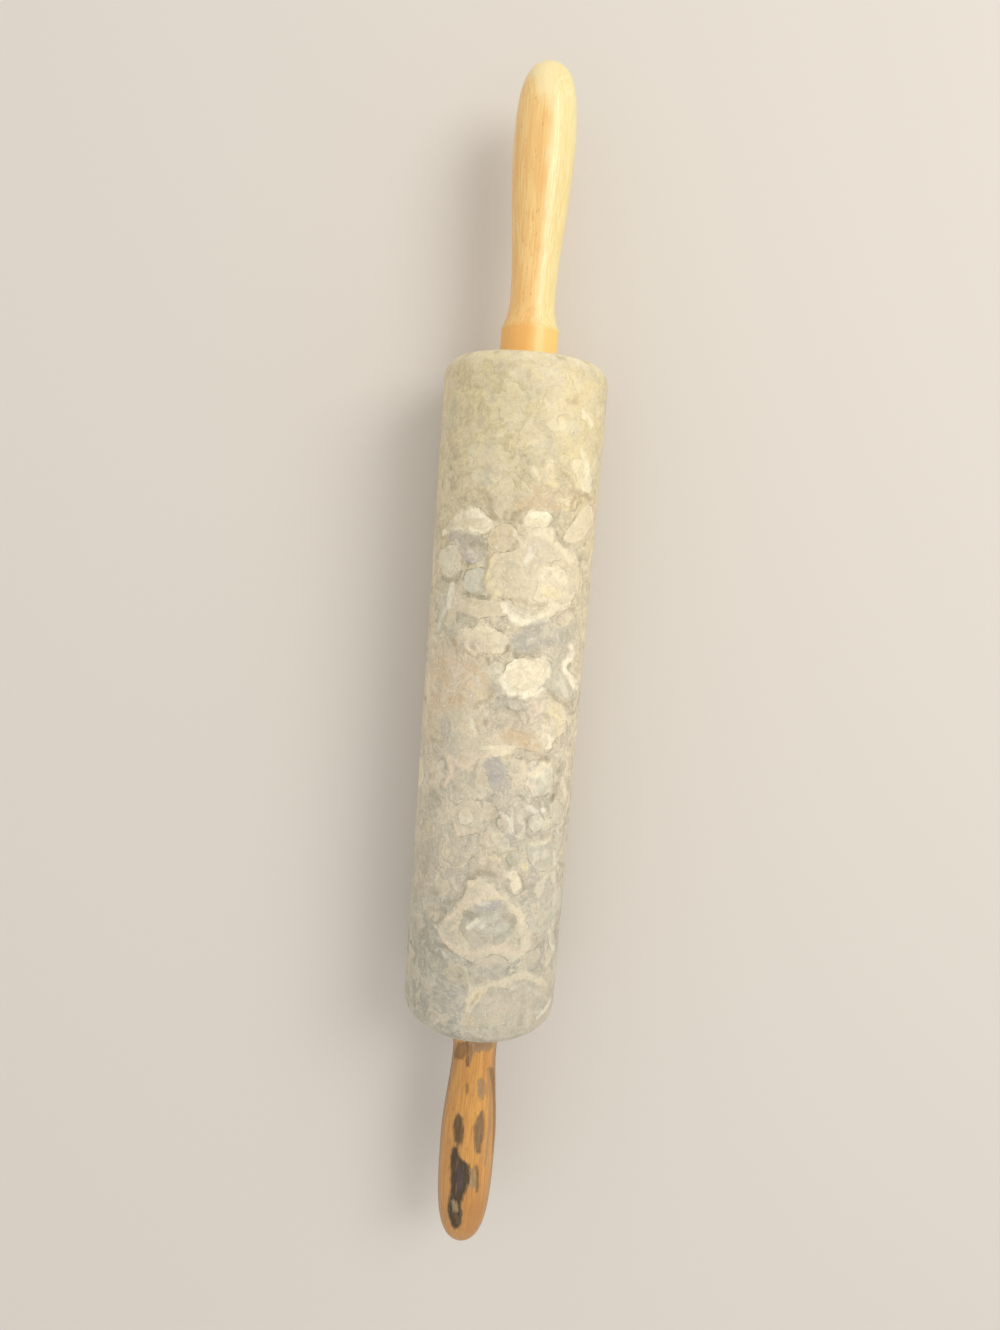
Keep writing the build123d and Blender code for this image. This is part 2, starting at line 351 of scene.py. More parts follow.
# Lumps in three layers, each over the last: body, rim, cover, rim width, cover of the dark outline, corners
lumps = [[
    ("sand", "cream", 0.9, 1.2, 0.7, [(55, 9.2), (56.8, 8.3), (58.5, 4.9), (59.3, -2), (62.8, -3.1),
     (66.1, -5), (67.1, -9.2), (68.1, -14.1), (65.8, -15.5), (62.6, -20.3), (58.9, -25.5), (51.5, -28),
     (45.7, -27.6), (41.4, -24), (39.9, -18.2), (39.1, -11.7), (39.5, -5.7), (40.6, -2.1), (41.6, 2.9),
     (43.8, 6.6), (49.5, 8.5)]),
    ("cream", "white", 0.9, 1.2, 0.6, [(61.2, 31.7), (64.1, 30.5), (67.1, 26.8), (69, 23.6), (72.3, 19.1),
     (72.9, 13.3), (69.8, 9.3), (67.8, 7.7), (63.9, 9.6), (64, 14.2), (64.1, 19.2), (63, 26.3)]),
    ("grey", "sage", 0.9, 0.8, 0.7, [(61.6, 23.4), (63.2, 19.6), (63.4, 16.6), (63.2, 10.3), (59.1, 9.2),
     (54.9, 10.4), (53.7, 12.5), (53.4, 15.7), (56, 18.5), (58.9, 21.6)]),
    ("cream", "bright", 0.9, 1, 0.8, [(27.1, 20), (29, 18.8), (30.3, 17.1), (31.8, 10.8), (30.9, 4.9),
     (28.6, -0.2), (25.8, -1.2), (23.4, 2.2), (22.6, 9.3), (23.3, 14.9)]),
    ("bright", "willow", 0.9, 1, 1, [(14.6, 0.7), (18.6, 0), (21.7, -4.3), (21.4, -8), (22.7, -11.6),
     (20.3, -16.7), (16.3, -17.6), (12, -14.2), (8.7, -9), (8.7, -3.9), (12.3, -1.2)]),
    ("moss", "buff", 0.9, 0.8, 0.5, [(17, -18), (16.8, -22.8), (13.5, -28.1), (6.4, -37.6), (5.2, -29.5),
     (7.3, -21.9), (9.8, -15.7), (11.6, -15.5)]),
    ("cream", "cream", 0.9, 0.9, 0.5, [(6.8, -14.5), (7.5, -19.7), (3, -25.8), (-3.2, -28.4), (-6.9, -27.2),
     (-7.6, -21.4), (-11.4, -21), (-11.7, -17), (-10.3, -14.3), (-5.9, -16.4), (-1.5, -15.3), (0.9, -19.6),
     (3.6, -14.8)]),
    ("sage", "willow", 0.9, 0.8, 0.6, [(-19.8, -11.3), (-17.3, -13.9), (-14.3, -17.3), (-17.3, -21.7),
     (-23.4, -23.8), (-28.4, -21.7), (-28.5, -15.7), (-24.9, -11.4)]),
    ("moss", "sage", 0.9, 0.8, 0.6, [(-47.1, -13.1), (-46.2, -17.4), (-46, -25.3), (-51.5, -30.8),
     (-58.6, -29.4), (-58.6, -22), (-54.9, -15.6)]),
    ("buff", "pink", 0.9, 1, 0.5, [(-38.1, 16.7), (-33.6, 14.1), (-30.6, 10.1), (-30.9, 5.5), (-35.7, 2.7),
     (-40.9, 3.5), (-44.9, 8.4), (-44, 14)]),
    ("sand", "sage", 0.8, 1.6, 0.7, [(-60.9, 6.4), (-60.1, 3.8), (-61.3, -1.4), (-64.7, -4.6),
     (-68.1, -9.9), (-71.9, -13.8), (-77.9, -16.2), (-84, -19.3), (-89.3, -17.3), (-91.7, -13), (-91, -8.3),
     (-88.2, -4.8), (-89.8, -0.9), (-91.6, 4.2), (-90.3, 8.3), (-87.8, 12.8), (-85.9, 16.2), (-82.6, 19),
     (-77.3, 15.9), (-71.5, 11.9), (-67.5, 9.2), (-63.2, 7.6)]),
    ("drab", "buff", 0.72, 1.8, 0.5, [(-103.9, 3.3), (-101.5, 0.8), (-99.7, -4.3), (-97.8, -11),
     (-95.2, -15.9), (-98.2, -22.1), (-100.7, -36.2), (-108.5, -39.6), (-120.2, -41.8), (-122.6, -29.7),
     (-124, -19.5), (-123, -8.8), (-123.8, 1.9), (-123.1, 6.3), (-117.1, 6.4), (-113.1, 7.5),
     (-108.4, 5.1)]),
    ("bright", "bright", 0.9, 0.9, 0.5, [(92.2, -18.7), (92.3, -24.2), (89.4, -30), (84, -32.2),
     (80.2, -29.4), (82.1, -23.9), (86.3, -20.7)]),
], [
    ("bright", "cream", 0.9, 0.9, 0.9, [(70.6, -2.5), (72.5, -4.4), (72.6, -8.7), (71.6, -12.7),
     (69.8, -13.3), (67.6, -9.9), (67.1, -4.9), (68.6, -2.3)]),
    ("tan", "sand", 0.9, 0.8, 0.9, [(62.6, 9.5), (66.7, 7.3), (67.9, 2.8), (66.7, -0.1), (62.7, -1.4),
     (59.1, 1.4), (58.2, 5.9), (59.9, 8.9)]),
    ("willow", "willow", 0.9, 0.9, 0.8, [(56.1, 32.3), (60.2, 26), (57.6, 20.5), (50.7, 18.8), (47.6, 22.3),
     (47.6, 28.3), (51.8, 32.6)]),
    ("sage", "sage", 0.9, 0.9, 0.9, [(47.9, 18.4), (52.5, 14), (52.2, 9.4), (44, 8), (42.4, 12),
     (43.7, 16.6), (45.8, 18.7)]),
    ("willow", "chalk", 0.9, 0.6, 0.3, [(45.9, 24.8), (46.8, 21.4), (42.6, 21.8), (38.5, 20.3),
     (35.9, 22.9), (37.7, 26.1), (42.2, 24.6)]),
    ("sand", "cream", 0.9, 0.8, 0.7, [(38.3, 20.8), (40.9, 18.1), (41.8, 10.1), (41.4, 3.5), (37.7, 0.3),
     (35.3, 1.7), (35.6, 7.4), (34.4, 12.5), (35.7, 18.5)]),
    ("cream", "cream", 0.9, 1, 0.35, [(50.2, -9.8), (53.5, -12.7), (54.7, -16.7), (52, -20.8),
     (47.8, -22.6), (42.5, -19.3), (41, -11.5), (42.9, -7.2), (46.7, -9.3)]),
    ("sand", "cream", 0.9, 0.7, 0.6, [(61.1, -6.8), (64.3, -9.4), (63.6, -13.3), (60.3, -16.1),
     (56.9, -17.7), (55.4, -13.3), (56.9, -9.3), (58.3, -6.9)]),
    ("cream", "cream", 0.9, 1, 0.8, [(78, -31.3), (71.8, -37.4), (67.2, -32.2), (63.4, -25.5), (62, -20.4),
     (64.5, -17.6), (68.9, -20.5), (74, -24)]),
    ("tan", "butter", 0.9, 0.7, 0.7, [(77.7, -14.3), (80, -19.2), (78.1, -23.6), (74.4, -22),
     (73.8, -16.4)]),
    ("rose", "sand", 0.9, 0.7, 0.6, [(2.9, -9.7), (5, -13.2), (2.2, -17.9), (-0.4, -19.9), (-1.6, -16),
     (-0.2, -10.3)]),
    ("orange", "sand", 0.55, 0.8, 0.5, [(-4.8, -1.2), (-3.8, -6.7), (-6.4, -12.3), (-10.4, -16.3),
     (-12.4, -15.6), (-11, -9.9), (-10.3, -6), (-9.3, -2.2), (-7.4, -0.5)]),
    ("lavender", "moss", 0.9, 0.9, 0.5, [(-17.4, 5.3), (-15.1, 1.1), (-16.7, -2.7), (-21.1, -4.5),
     (-24.9, -5.4), (-27.1, -2.3), (-25.4, 0.9), (-21.6, 2.6)]),
    ("buff", "buff", 0.9, 0.8, 0.6, [(6.5, -2.2), (7.5, -4.6), (5.8, -7.9), (3.3, -8.1), (2.3, -5),
     (3.4, -2.3)]),
    ("buff", "rose", 0.9, 0.7, 0.2, [(-3.2, 26.2), (-0.4, 21.7), (-2.9, 18), (-7.2, 16.8), (-10.6, 20.7),
     (-8.9, 25.6)]),
    ("bright", "bright", 0.9, 0.8, 0.4, [(-11.4, 7.6), (-10.1, 2.7), (-9.6, -3.4), (-10.2, -6.6),
     (-12.1, -3.6), (-14.3, -1.3), (-14.6, 1.7), (-13, 4.3)]),
    ("buff", "sand", 0.9, 0.9, 0.5, [(-15.4, -3.3), (-13.7, -9.5), (-17.9, -10.8), (-23.6, -10.3),
     (-25, -7.2), (-21.1, -5)]),
    ("sage", "sage", 0.9, 0.7, 0.8, [(-31.5, -10.3), (-30.9, -14.4), (-33.6, -16.3), (-35.2, -14.8),
     (-34.3, -11.2)]),
    ("sage", "sage", 0.9, 0.7, 0.8, [(-36.6, -13), (-35.4, -17.1), (-39.3, -20.3), (-42.3, -17.8),
     (-40.6, -13.6)]),
    ("grey", "sage", 0.9, 0.7, 0.8, [(-35.2, -8), (-35.9, -11.4), (-40.5, -12.5), (-43.6, -10),
     (-39.7, -7.7)]),
    ("drab", "sage", 0.9, 0.7, 0.8, [(-36.6, -1.2), (-35.2, -5.4), (-39.7, -6.8), (-42.3, -4.1),
     (-40.5, -1.3)]),
    ("buff", "sand", 0.9, 0.7, 0.6, [(-32.6, 3.5), (-32.8, -0.2), (-36.6, -1.2), (-38.2, 1.8),
     (-35.8, 3.9)]),
    ("moss", "moss", 0.9, 0.7, 0.7, [(-50.8, -5.4), (-48.8, -9.1), (-52.2, -11.4), (-54.4, -8.9),
     (-53.7, -5.9)]),
    ("buff", "sage", 0.9, 0.7, 0.7, [(-31.2, -23.4), (-32.5, -30.2), (-41.3, -33.4), (-41.8, -26.8),
     (-36.5, -23.1)]),
    ("drab", "drab", 0.9, 0.7, 0.6, [(-53.2, 7.1), (-51.3, 3.4), (-55.7, 1.8), (-58.6, 4.1), (-57.8, 7.4)]),
    ("grey", "moss", 0.9, 0.9, 0.7, [(-72.1, 7.6), (-69, 4.5), (-68.2, -0.6), (-68.8, -5.3), (-73.1, -10.3),
     (-77.3, -11), (-81.3, -9.1), (-85.3, -5.2), (-86.2, -0.7), (-86, 4.6), (-82.5, 8.2), (-78.6, 9.2)]),
    ("drab", "moss", 0.7, 0.9, 0.6, [(-93, 4.9), (-90.5, 1.6), (-88.7, -4.8), (-91, -8.3), (-95.2, -10.2),
     (-99.2, -7.8), (-100.1, -1.7), (-100.5, 2.9), (-97.1, 4.6)]),
    ("buff", "willow", 0.9, 0.7, 0.8, [(-58.6, -6.3), (-55.2, -9.5), (-59.6, -12.8), (-65.1, -12.6),
     (-65.7, -10.5), (-62.1, -8)]),
    ("drab", "buff", 0.9, 0.9, 0.5, [(-56.4, 7.4), (-51.9, 3.8), (-50.6, -0.6), (-54.6, -3.5), (-59.3, -6),
     (-63.5, -4.2), (-60.9, -1.4), (-59.9, 3.9), (-60.3, 6.5)]),
    ("sage", "sage", 0.9, 0.6, 0.4, [(-69, -29.3), (-66.7, -37.4), (-77.9, -38.6), (-77.2, -30.1)]),
    ("sage", "sage", 0.9, 0.6, 0.4, [(-83.7, -28.5), (-83.3, -31.5), (-92.4, -36.4), (-94.5, -34.1),
     (-86.8, -28)]),
    ("butter", "butter", 0.9, 0.7, 0.5, [(104.7, -11), (105.4, -16.6), (103.8, -22), (101.5, -20.7),
     (100.3, -16.4), (101.6, -13.1)]),
    ("butter", "butter", 0.9, 0.5, 0.4, [(107.6, -21.2), (105.3, -28.2), (103.9, -27.4), (105, -23.1)]),
    ("buff", "sand", 0.9, 0.6, 0.4, [(87.6, 9.9), (88.5, 7.1), (85.7, 5.2), (82.4, 6.6), (83.3, 9)]),
    ("tan", "butter", 0.9, 0.6, 0.4, [(87.9, -9), (89.8, -12.4), (86.9, -15.2), (83.9, -12.3),
     (85.2, -9.2)]),
], [
    ("white", "white", 0.85, 0.5, 0.1, [(71.6, 18.7), (72.3, 14.1), (69.8, 10.6), (68.2, 15.2),
     (69.4, 18.4)]),
    ("cream", "willow", 0.85, 0.6, 0.9, [(41.4, 2.7), (41.8, 0.4), (39.2, -2.2), (37.2, -5.9), (36.8, -8.9),
     (38.1, -13.3), (41, -18.1), (40.8, -24.6), (39.8, -24.2), (39.3, -19.7), (36.4, -16), (34.7, -12.1),
     (33.8, -7.6), (34.8, -3.6), (37.6, -0.3)]),
    ("grey", "moss", 0.85, 0.4, 0.1, [(35.7, 20.4), (35.8, 14.2), (33.8, 11.6), (31.9, 14.7),
     (32.8, 19.3)]),
    ("brown", "brown", 0.85, 0.4, 0.1, [(24.3, 13.6), (25.2, 12.2), (24.5, 10.8), (23.4, 11.8)]),
    ("willow", "chalk", 0.85, 0.4, 0.5, [(24.8, -26.6), (22.3, -28.8), (19.9, -25.8), (18.9, -24.3),
     (16.6, -26.3), (14.3, -31.7), (11.6, -35.9), (11.6, -32.9), (14.3, -27.9), (16.4, -23.3),
     (19.4, -21.7), (22.5, -25.4)]),
    ("bright", "bright", 0.85, 0.5, 0.2, [(17.7, -1.8), (20.7, -5.1), (21.3, -11), (18.8, -14.8),
     (16.3, -14.6), (12.3, -11), (10.4, -6.7), (12.7, -2.5)]),
    ("willow", "willow", 0.85, 0.3, 0.1, [(26.6, -2.9), (26.9, -4.3), (25.2, -4.6), (24.9, -3.2)]),
    ("sage", "chalk", 0.85, 0.3, 0.1, [(28.4, -6.6), (28.7, -8.4), (27.3, -8.8), (27, -7.1)]),
    ("willow", "chalk", 0.85, 0.3, 0.1, [(57.2, 16), (58.4, 14.1), (55.8, 12.7), (53.9, 14.5),
     (55.1, 16.2)]),
    ("pink", "pink", 0.85, 0.5, 0.3, [(-17.3, 17.3), (-17.1, 16.1), (-19.1, 12.4), (-16.1, 9.2),
     (-13.5, 5.6), (-12.1, 2.6), (-12.8, 2.2), (-14.6, 5.2), (-17.2, 8.5), (-20.3, 12.3)]),
    ("pink", "willow", 0.85, 0.4, 0.3, [(-19.6, 18.1), (-19.5, 17), (-22.6, 17.2), (-25.5, 18.5),
     (-28, 19.5), (-27.9, 20.3), (-24.9, 19), (-22.8, 18.1)]),
    ("cream", "bright", 0.85, 0.4, 0.4, [(-3.1, 10.9), (-2.9, 9.9), (-6, 7.3), (-6.9, 8)]),
    ("willow", "willow", 0.85, 0.5, 0.2, [(-19.2, -13.4), (-15.5, -16.6), (-16.3, -18.7), (-18.8, -17.7),
     (-21.7, -20.5), (-22.1, -18.1), (-20.6, -14.9)]),
    ("dark", "olive", 0.85, 0.4, 0.1, [(4.2, -2), (4.4, -3.1), (3.2, -3.3), (2.9, -2.2)]),
    ("willow", "chalk", 0.85, 0.4, 0.3, [(-33.7, -17.5), (-33.4, -19.3), (-35.1, -19.9), (-35.3, -18.3)]),
    ("olive", "olive", 0.85, 0.4, 0.1, [(-30.2, -22.9), (-30.4, -24.8), (-31.8, -25.2), (-31.8, -23.4)]),
    ("willow", "willow", 0.85, 0.7, 0.6, [(-36.8, 13.8), (-34, 11.2), (-35.1, 7.8), (-38.9, 7.2),
     (-41.1, 10.7), (-39.7, 13.4)]),
    ("willow", "willow", 0.85, 0.5, 0.3, [(-46.7, -14.6), (-46.3, -18.2), (-46.3, -23.3), (-47.7, -24.1),
     (-47.8, -19.1), (-48.1, -15.7)]),
    ("sage", "sage", 0.85, 0.4, 0.1, [(-80.3, 7.7), (-77.1, 5.2), (-75.8, 2.7), (-76.7, 2), (-79.1, 4.4),
     (-81.5, 6.6)]),
    ("moss", "sage", 0.85, 0.4, 0.1, [(-76.2, 3.3), (-74.1, -1.1), (-75.4, -2.5), (-77.3, 0.6),
     (-80.8, 1.7), (-79.5, 2.7)]),
    ("sage", "sage", 0.85, 0.5, 0.4, [(-81.2, 12.1), (-80.2, 10.3), (-81.7, 9.5), (-83.3, 11.3)]),
    ("lavender", "lavender", 0.85, 0.4, 0.2, [(-69.5, 4.5), (-70.3, 0.5), (-68.8, -4.6), (-70, -5.7),
     (-71.3, -2.8), (-71.6, 2.3)]),
    ("buff", "cream", 0.85, 0.9, 0.3, [(-103.8, 3), (-101.4, -1.1), (-100.4, -4.4), (-104.8, -1.4),
     (-109.3, 1.6), (-115.3, 4.5), (-115.6, 6.1), (-109, 4.8)]),
    ("drab", "sage", 0.85, 0.9, 0.1, [(-102.9, -10), (-101.9, -17.4), (-107.8, -27.5), (-116.3, -37.1),
     (-116.9, -26.5), (-112.1, -18.3), (-108.3, -13.3)]),
    ("sand", "sand", 0.85, 0.4, 0.3, [(86.8, -3.4), (86.1, -6.3), (85.4, -5.8), (85.6, -4.2)]),
    ("butter", "bright", 0.85, 0.4, 0.3, [(90.6, -10), (90.6, -11.8), (89.3, -11.8), (89.4, -10.5)]),
    ("cream", "bright", 0.85, 0.4, 0.3, [(119.4, 6.2), (117.4, 4), (116.5, 4.9), (117, 6.5)]),
    ("brown", "orange", 0.85, 0.4, 0.1, [(121.2, 5.3), (121.1, 4.1), (120.2, 4.2), (120.2, 5.1)]),
    ("orange", "orange", 0.85, 0.4, 0.1, [(102.3, 15.3), (102.2, 14.1), (101, 14.2), (101.2, 15.2)]),
    ("brown", "brown", 0.85, 0.4, 0.1, [(91.6, -0.9), (91.6, -2.1), (90.8, -1.9), (90.8, -1)]),
    ("orange", "orange", 0.85, 0.4, 0.1, [(111.6, -17.1), (111.7, -18.5), (110.7, -18.5), (110.8, -17.3)]),
]]
# Pale and dark strokes and spots over the lumps: tone, cover, half width, and the points they run through
strokes = [[
    ("white", 0.65, 0.68, [(108.1, -22.1), (106.4, -25), (104.4, -27.8)]),
    ("bright", 0.57, 1.83, [(102.1, -14.7), (102.3, -19.4)]),
    ("bright", 0.41, 1.06, [(118.7, 5.1), (117.8, 4.6)]), ("sand", 0.41, 1.06, [(103.7, 10.5)]),
    ("willow", 0.41, 1.06, [(98.1, 8.7)]), ("sand", 0.41, 0.87, [(100.1, 26.5), (98.3, 25.1)]),
    ("willow", 0.63, 1.63, [(83.7, 16.2), (83.5, 14.2)]),
    ("willow", 0.49, 0.68, [(92.2, 17.4), (89.4, 18.4), (86.7, 18.2)]),
    ("bright", 0.63, 0.87, [(87, -4.3), (85.8, -5.8)]), ("butter", 0.72, 0.87, [(84.9, -11.3), (83, -12.6)]),
    ("bright", 0.41, 0.87, [(89.8, -9.8), (87.9, -11)]),
    ("bright", 0.72, 1.06, [(77.8, -15.6), (77.1, -19.1)]),
    ("butter", 0.57, 1.25, [(89.8, -16), (92.3, -17.4)]),
    ("white", 0.81, 1.25, [(94.7, -23.9), (90.5, -26.8), (85.5, -28.3), (82.7, -28.1)]),
    ("white", 0.81, 1.25, [(70.3, 18.5), (72.1, 16.9), (70.4, 15.9)]),
    ("bright", 0.63, 0.68, [(67.2, 24), (69, 22.1)]),
    ("white", 0.72, 1.06, [(72.2, -4.8), (71.1, -8.1), (71.3, -10.7)]),
    ("bright", 0.72, 1.44, [(64.3, -4.1), (65.9, -7.1), (66.2, -11.5), (64.6, -13.6)]),
    ("bright", 0.72, 1.06, [(62.6, -15), (60.7, -16.9), (59.1, -20.2), (56.7, -22.5)]),
    ("white", 0.54, 0.68, [(65.6, 0.5), (64, -0.6), (62.3, -1.1)]),
    ("chalk", 0.72, 0.87, [(59.2, -5.2), (57.2, -5.7), (55, -4.1)]),
    ("butter", 0.72, 0.87, [(56.5, 7.9), (53.3, 8.8), (48.9, 8), (45.5, 7.1), (42.2, 5)]),
    ("chalk", 0.54, 0.68, [(61.7, 22.9), (59.3, 21.6)]), ("chalk", 0.72, 0.87, [(58, 15.7), (55.6, 14.7)]),
    ("chalk", 0.54, 0.87, [(57.2, 41.2), (52.1, 39.1), (46.9, 39.3)]),
    ("chalk", 0.4, 0.87, [(45.7, 23.3), (42.5, 23.5), (38.9, 23.7), (35.8, 25.6), (32.5, 28.4),
     (29.4, 30.2)]),
    ("white", 0.85, 0.87, [(39.6, 2.7), (37.6, 1.1), (35, -1.8), (34.2, -5.1), (34.7, -9.4),
     (35.6, -13.6)]),
    ("bright", 0.81, 1.63, [(36.6, -11.5), (38.1, -14.2), (40.3, -16)]),
    ("bright", 0.63, 0.68, [(40.3, -17.3), (40, -20.5), (41.8, -23.9)]),
    ("bright", 0.72, 1.83, [(51.7, -12.1), (52.6, -16), (49.9, -19.4)]),
    ("butter", 0.54, 1.83, [(45.4, -12.7), (44.9, -17.7)]), ("white", 0.81, 0.87, [(28, -7.8), (27.6, -8.5)]),
    ("chalk", 0.72, 0.68, [(26, -3.6)]), ("chalk", 0.54, 0.68, [(30.7, -16.6), (28.9, -19)]),
    ("bright", 0.63, 1.06, [(31.4, 11.1), (31, 8.1)]), ("bright", 0.63, 1.63, [(28.6, 3.6), (27.4, 1.4)]),
    ("chalk", 0.54, 0.68, [(25.2, 34), (24.1, 31)]),
    ("white", 0.85, 0.87, [(13.2, 1), (15.5, -0.6), (18.4, -1.4), (20.3, -3.4)]),
    ("white", 0.85, 0.87, [(12.2, 0.3), (9.8, -1.7), (8.5, -4.3), (8.3, -7.6), (9.4, -11.2),
     (10.9, -14.3)]),
    ("white", 0.81, 0.87, [(21.7, -11.7), (22.4, -13.6), (21.3, -15.4)]),
    ("bright", 0.81, 2.02, [(15.7, -5.2), (18, -7.5), (17, -11.3), (14.5, -12.4), (12.6, -8.7)]),
    ("white", 0.85, 0.87, [(26.1, -26.7), (23.1, -28.6), (20.6, -26.9), (19.7, -23), (18.3, -22.7),
     (15.2, -25.9), (12.6, -29.6), (9.8, -34.7)]),
    ("chalk", 0.54, 0.68, [(17.3, 2.8), (15.6, 1.6)]), ("chalk", 0.45, 0.56, [(13.7, 9.8), (11.3, 9.2)]),
    ("butter", 0.45, 0.56, [(7.8, 18.3), (7.2, 15.2), (6, 13.5)]),
    ("willow", 0.63, 1.44, [(15.5, -20), (11.6, -23.5), (8.5, -26.2)]),
    ("butter", 0.45, 1.9, [(4.5, -19.3), (2.1, -22.6), (-1.7, -24.1), (-5.5, -24.1)]),
    ("pink", 0.72, 1.06, [(5.5, -12.8), (3.6, -14.6)]),
    ("white", 0.72, 0.58, [(-2.7, 10.4), (-4.3, 9.5), (-6.4, 8.2)]),
    ("bright", 0.54, 0.58, [(-8.1, 10), (-7, 7.8)]),
    ("bright", 0.81, 1.06, [(-13.1, 3.7), (-12.1, 1.2), (-10.8, -1.5), (-10.7, -4.4)]),
    ("bright", 0.72, 0.87, [(-11.9, 6), (-11.9, 2.3)]),
    ("pink", 0.85, 0.68, [(-17, 17.1), (-18.7, 14.3), (-19.4, 11.8), (-17.6, 9.6), (-15.5, 8.3),
     (-13.8, 6.2), (-13.1, 3.7)]),
    ("pink", 0.85, 0.68, [(-16.9, 18.4), (-20, 17.3), (-23.4, 17.4), (-26, 19.1), (-28.1, 19.8)]),
    ("pink", 0.54, 0.68, [(-15.9, 33.8), (-19.9, 34.1)]),
    ("white", 0.72, 0.68, [(-6.5, -19.1), (-9.2, -20.3), (-11, -19.6)]),
    ("bright", 0.81, 1.25, [(-20.6, -13.1), (-18.9, -15.9), (-17.6, -18.4), (-16.6, -20.2)]),
    ("willow", 0.63, 1.06, [(-22.1, -18), (-24.1, -20.1)]),
    ("cream", 0.63, 0.87, [(-16.1, -8.5), (-18.7, -9.8), (-21.6, -9.3)]),
    ("cream", 0.72, 0.87, [(-24.2, -28.6), (-27.7, -30.7), (-31.5, -32.3)]),
    ("willow", 0.45, 0.87, [(-28.1, 31.7), (-31.5, 34.1), (-33.1, 32.8)]),
    ("willow", 0.54, 0.87, [(-23.2, 27.7), (-21.2, 24.2), (-19.5, 21.6)]),
    ("pink", 0.54, 0.68, [(-24.3, -11.9), (-24.8, -15.2)]),
    ("sage", 0.63, 0.87, [(-26.8, -9.8), (-28.1, -13), (-27.2, -16.3)]),
    ("chalk", 0.63, 0.68, [(-31, -10.5), (-33, -13.5), (-35, -15.7)]),
    ("white", 0.45, 0.87, [(-34.1, -18.3), (-34.7, -19.8)]),
    ("sand", 0.63, 1.06, [(-36.2, 11.7), (-35.7, 9.4), (-37.7, 7.7)]),
    ("chalk", 0.63, 0.58, [(-35.9, -2.3), (-36.5, -5.3), (-39.1, -6.6), (-41.8, -6.8)]),
    ("willow", 0.63, 0.68, [(-35.8, -9), (-38.5, -11.5), (-41.9, -11.8), (-44.1, -10.4)]),
    ("willow", 0.63, 1.25, [(-37.7, -16.4), (-39.6, -19.8)]),
    ("cream", 0.6, 0.87, [(-47.1, -15.6), (-46.6, -17.8), (-46.3, -21.1), (-46.2, -24.8)]),
    ("willow", 0.63, 1.63, [(-51.6, -17.8), (-51.9, -22.2)]),
    ("willow", 0.63, 0.87, [(-53.1, -27.6), (-56.5, -28.9)]),
    ("butter", 0.72, 1.06, [(-54.2, -13.3), (-55, -13.8)]),
    ("pink", 0.63, 0.87, [(-51.3, 2.3), (-53.6, 2.9)]), ("butter", 0.45, 0.87, [(-51.8, -1), (-52.4, -2.5)]),
    ("bright", 0.81, 1.44, [(-57.7, -8.1), (-60, -9.8), (-62.8, -10.9)]),
    ("chalk", 0.45, 0.68, [(-46.6, 17.7), (-47.8, 16.7)]),
    ("sage", 0.45, 0.87, [(-45.5, 19.7), (-43.6, 18), (-43.1, 16.2)]),
    ("willow", 0.54, 0.87, [(-60, -28.7), (-63.1, -28.5), (-68.9, -31.8), (-73.4, -30.9)]),
    ("cream", 0.85, 1.25, [(-62.5, 6.7), (-61.2, 3), (-63.5, -1.5), (-65.7, -5.7), (-68.9, -9.8),
     (-72.6, -12.5)]),
    ("cream", 0.85, 1.25, [(-73.4, -13.4), (-78.3, -14.7), (-82.1, -16.8), (-86, -16.7), (-89, -15.6)]),
    ("pink", 0.81, 1.06, [(-69, 8.5), (-74.2, 11.2), (-77.9, 15.2), (-82, 17.1), (-84.8, 15.9),
     (-86.7, 13.2), (-87.9, 9.8), (-88.6, 5.5)]),
    ("pink", 0.63, 1.06, [(-88.2, 2.9), (-86.6, -1.8), (-86.2, -5.5), (-87.5, -9.4), (-88.2, -12.6)]),
    ("pink", 0.54, 1.63, [(-70.7, 7.6), (-65.6, 4.2), (-65.4, -0.9)]),
    ("cream", 0.72, 0.87, [(-81.4, 12.3), (-80, 11.2)]),
    ("white", 0.72, 0.87, [(-79.4, 6.2), (-77.5, 4.4), (-76.2, 3)]),
    ("chalk", 0.63, 0.58, [(-78.7, 1.4), (-76.3, 0.1)]), ("chalk", 0.63, 0.68, [(-68.9, 3.2), (-69.3, -0.5)]),
    ("sage", 0.72, 1.06, [(-74.4, 1), (-75, -2.4), (-73.4, -5.2)]),
    ("sage", 0.54, 1.25, [(-80.1, -1.3), (-79.2, -4.5), (-77.6, -7.1)]),
    ("cream", 0.72, 1.25, [(-107.3, 4.5), (-103.5, 2.9), (-101.2, -0.6), (-100.3, -5.4), (-100.1, -9.6)]),
    ("cream", 0.72, 1.44, [(-98.5, -12.7), (-98, -16.9), (-100.7, -23.1), (-105.2, -30.1)]),
    ("butter", 0.54, 1.25, [(-106.2, 2), (-103.5, -0.8)]),
    ("tan", 0.54, 1.83, [(-115.1, 3.6), (-118.8, 1.1)]),
    ("chalk", 0.72, 0.68, [(-84, -28.9), (-88.6, -30.4), (-93.6, -35.1)]),
    ("willow", 0.63, 0.87, [(-99.2, -36.6), (-106.8, -41.4)]),
    ("chalk", 0.63, 0.87, [(-114.6, -35.8), (-116.3, -32.1), (-117.5, -27)]),
    ("chalk", 0.54, 0.68, [(-94.5, 28.3)]), ("chalk", 0.54, 0.68, [(-91.3, 15.4), (-92.5, 14)]),
    ("sage", 0.54, 1.63, [(-103.8, 20.6), (-102.8, 17.7)]), ("pink", 0.45, 1.25, [(-95.3, -20.9)]),
    ("pink", 0.45, 0.87, [(-90.1, -4.3), (-92.4, -5.6)]), ("sage", 0.45, 0.68, [(-77.4, 29.7), (-84.7, 28)]),
], [
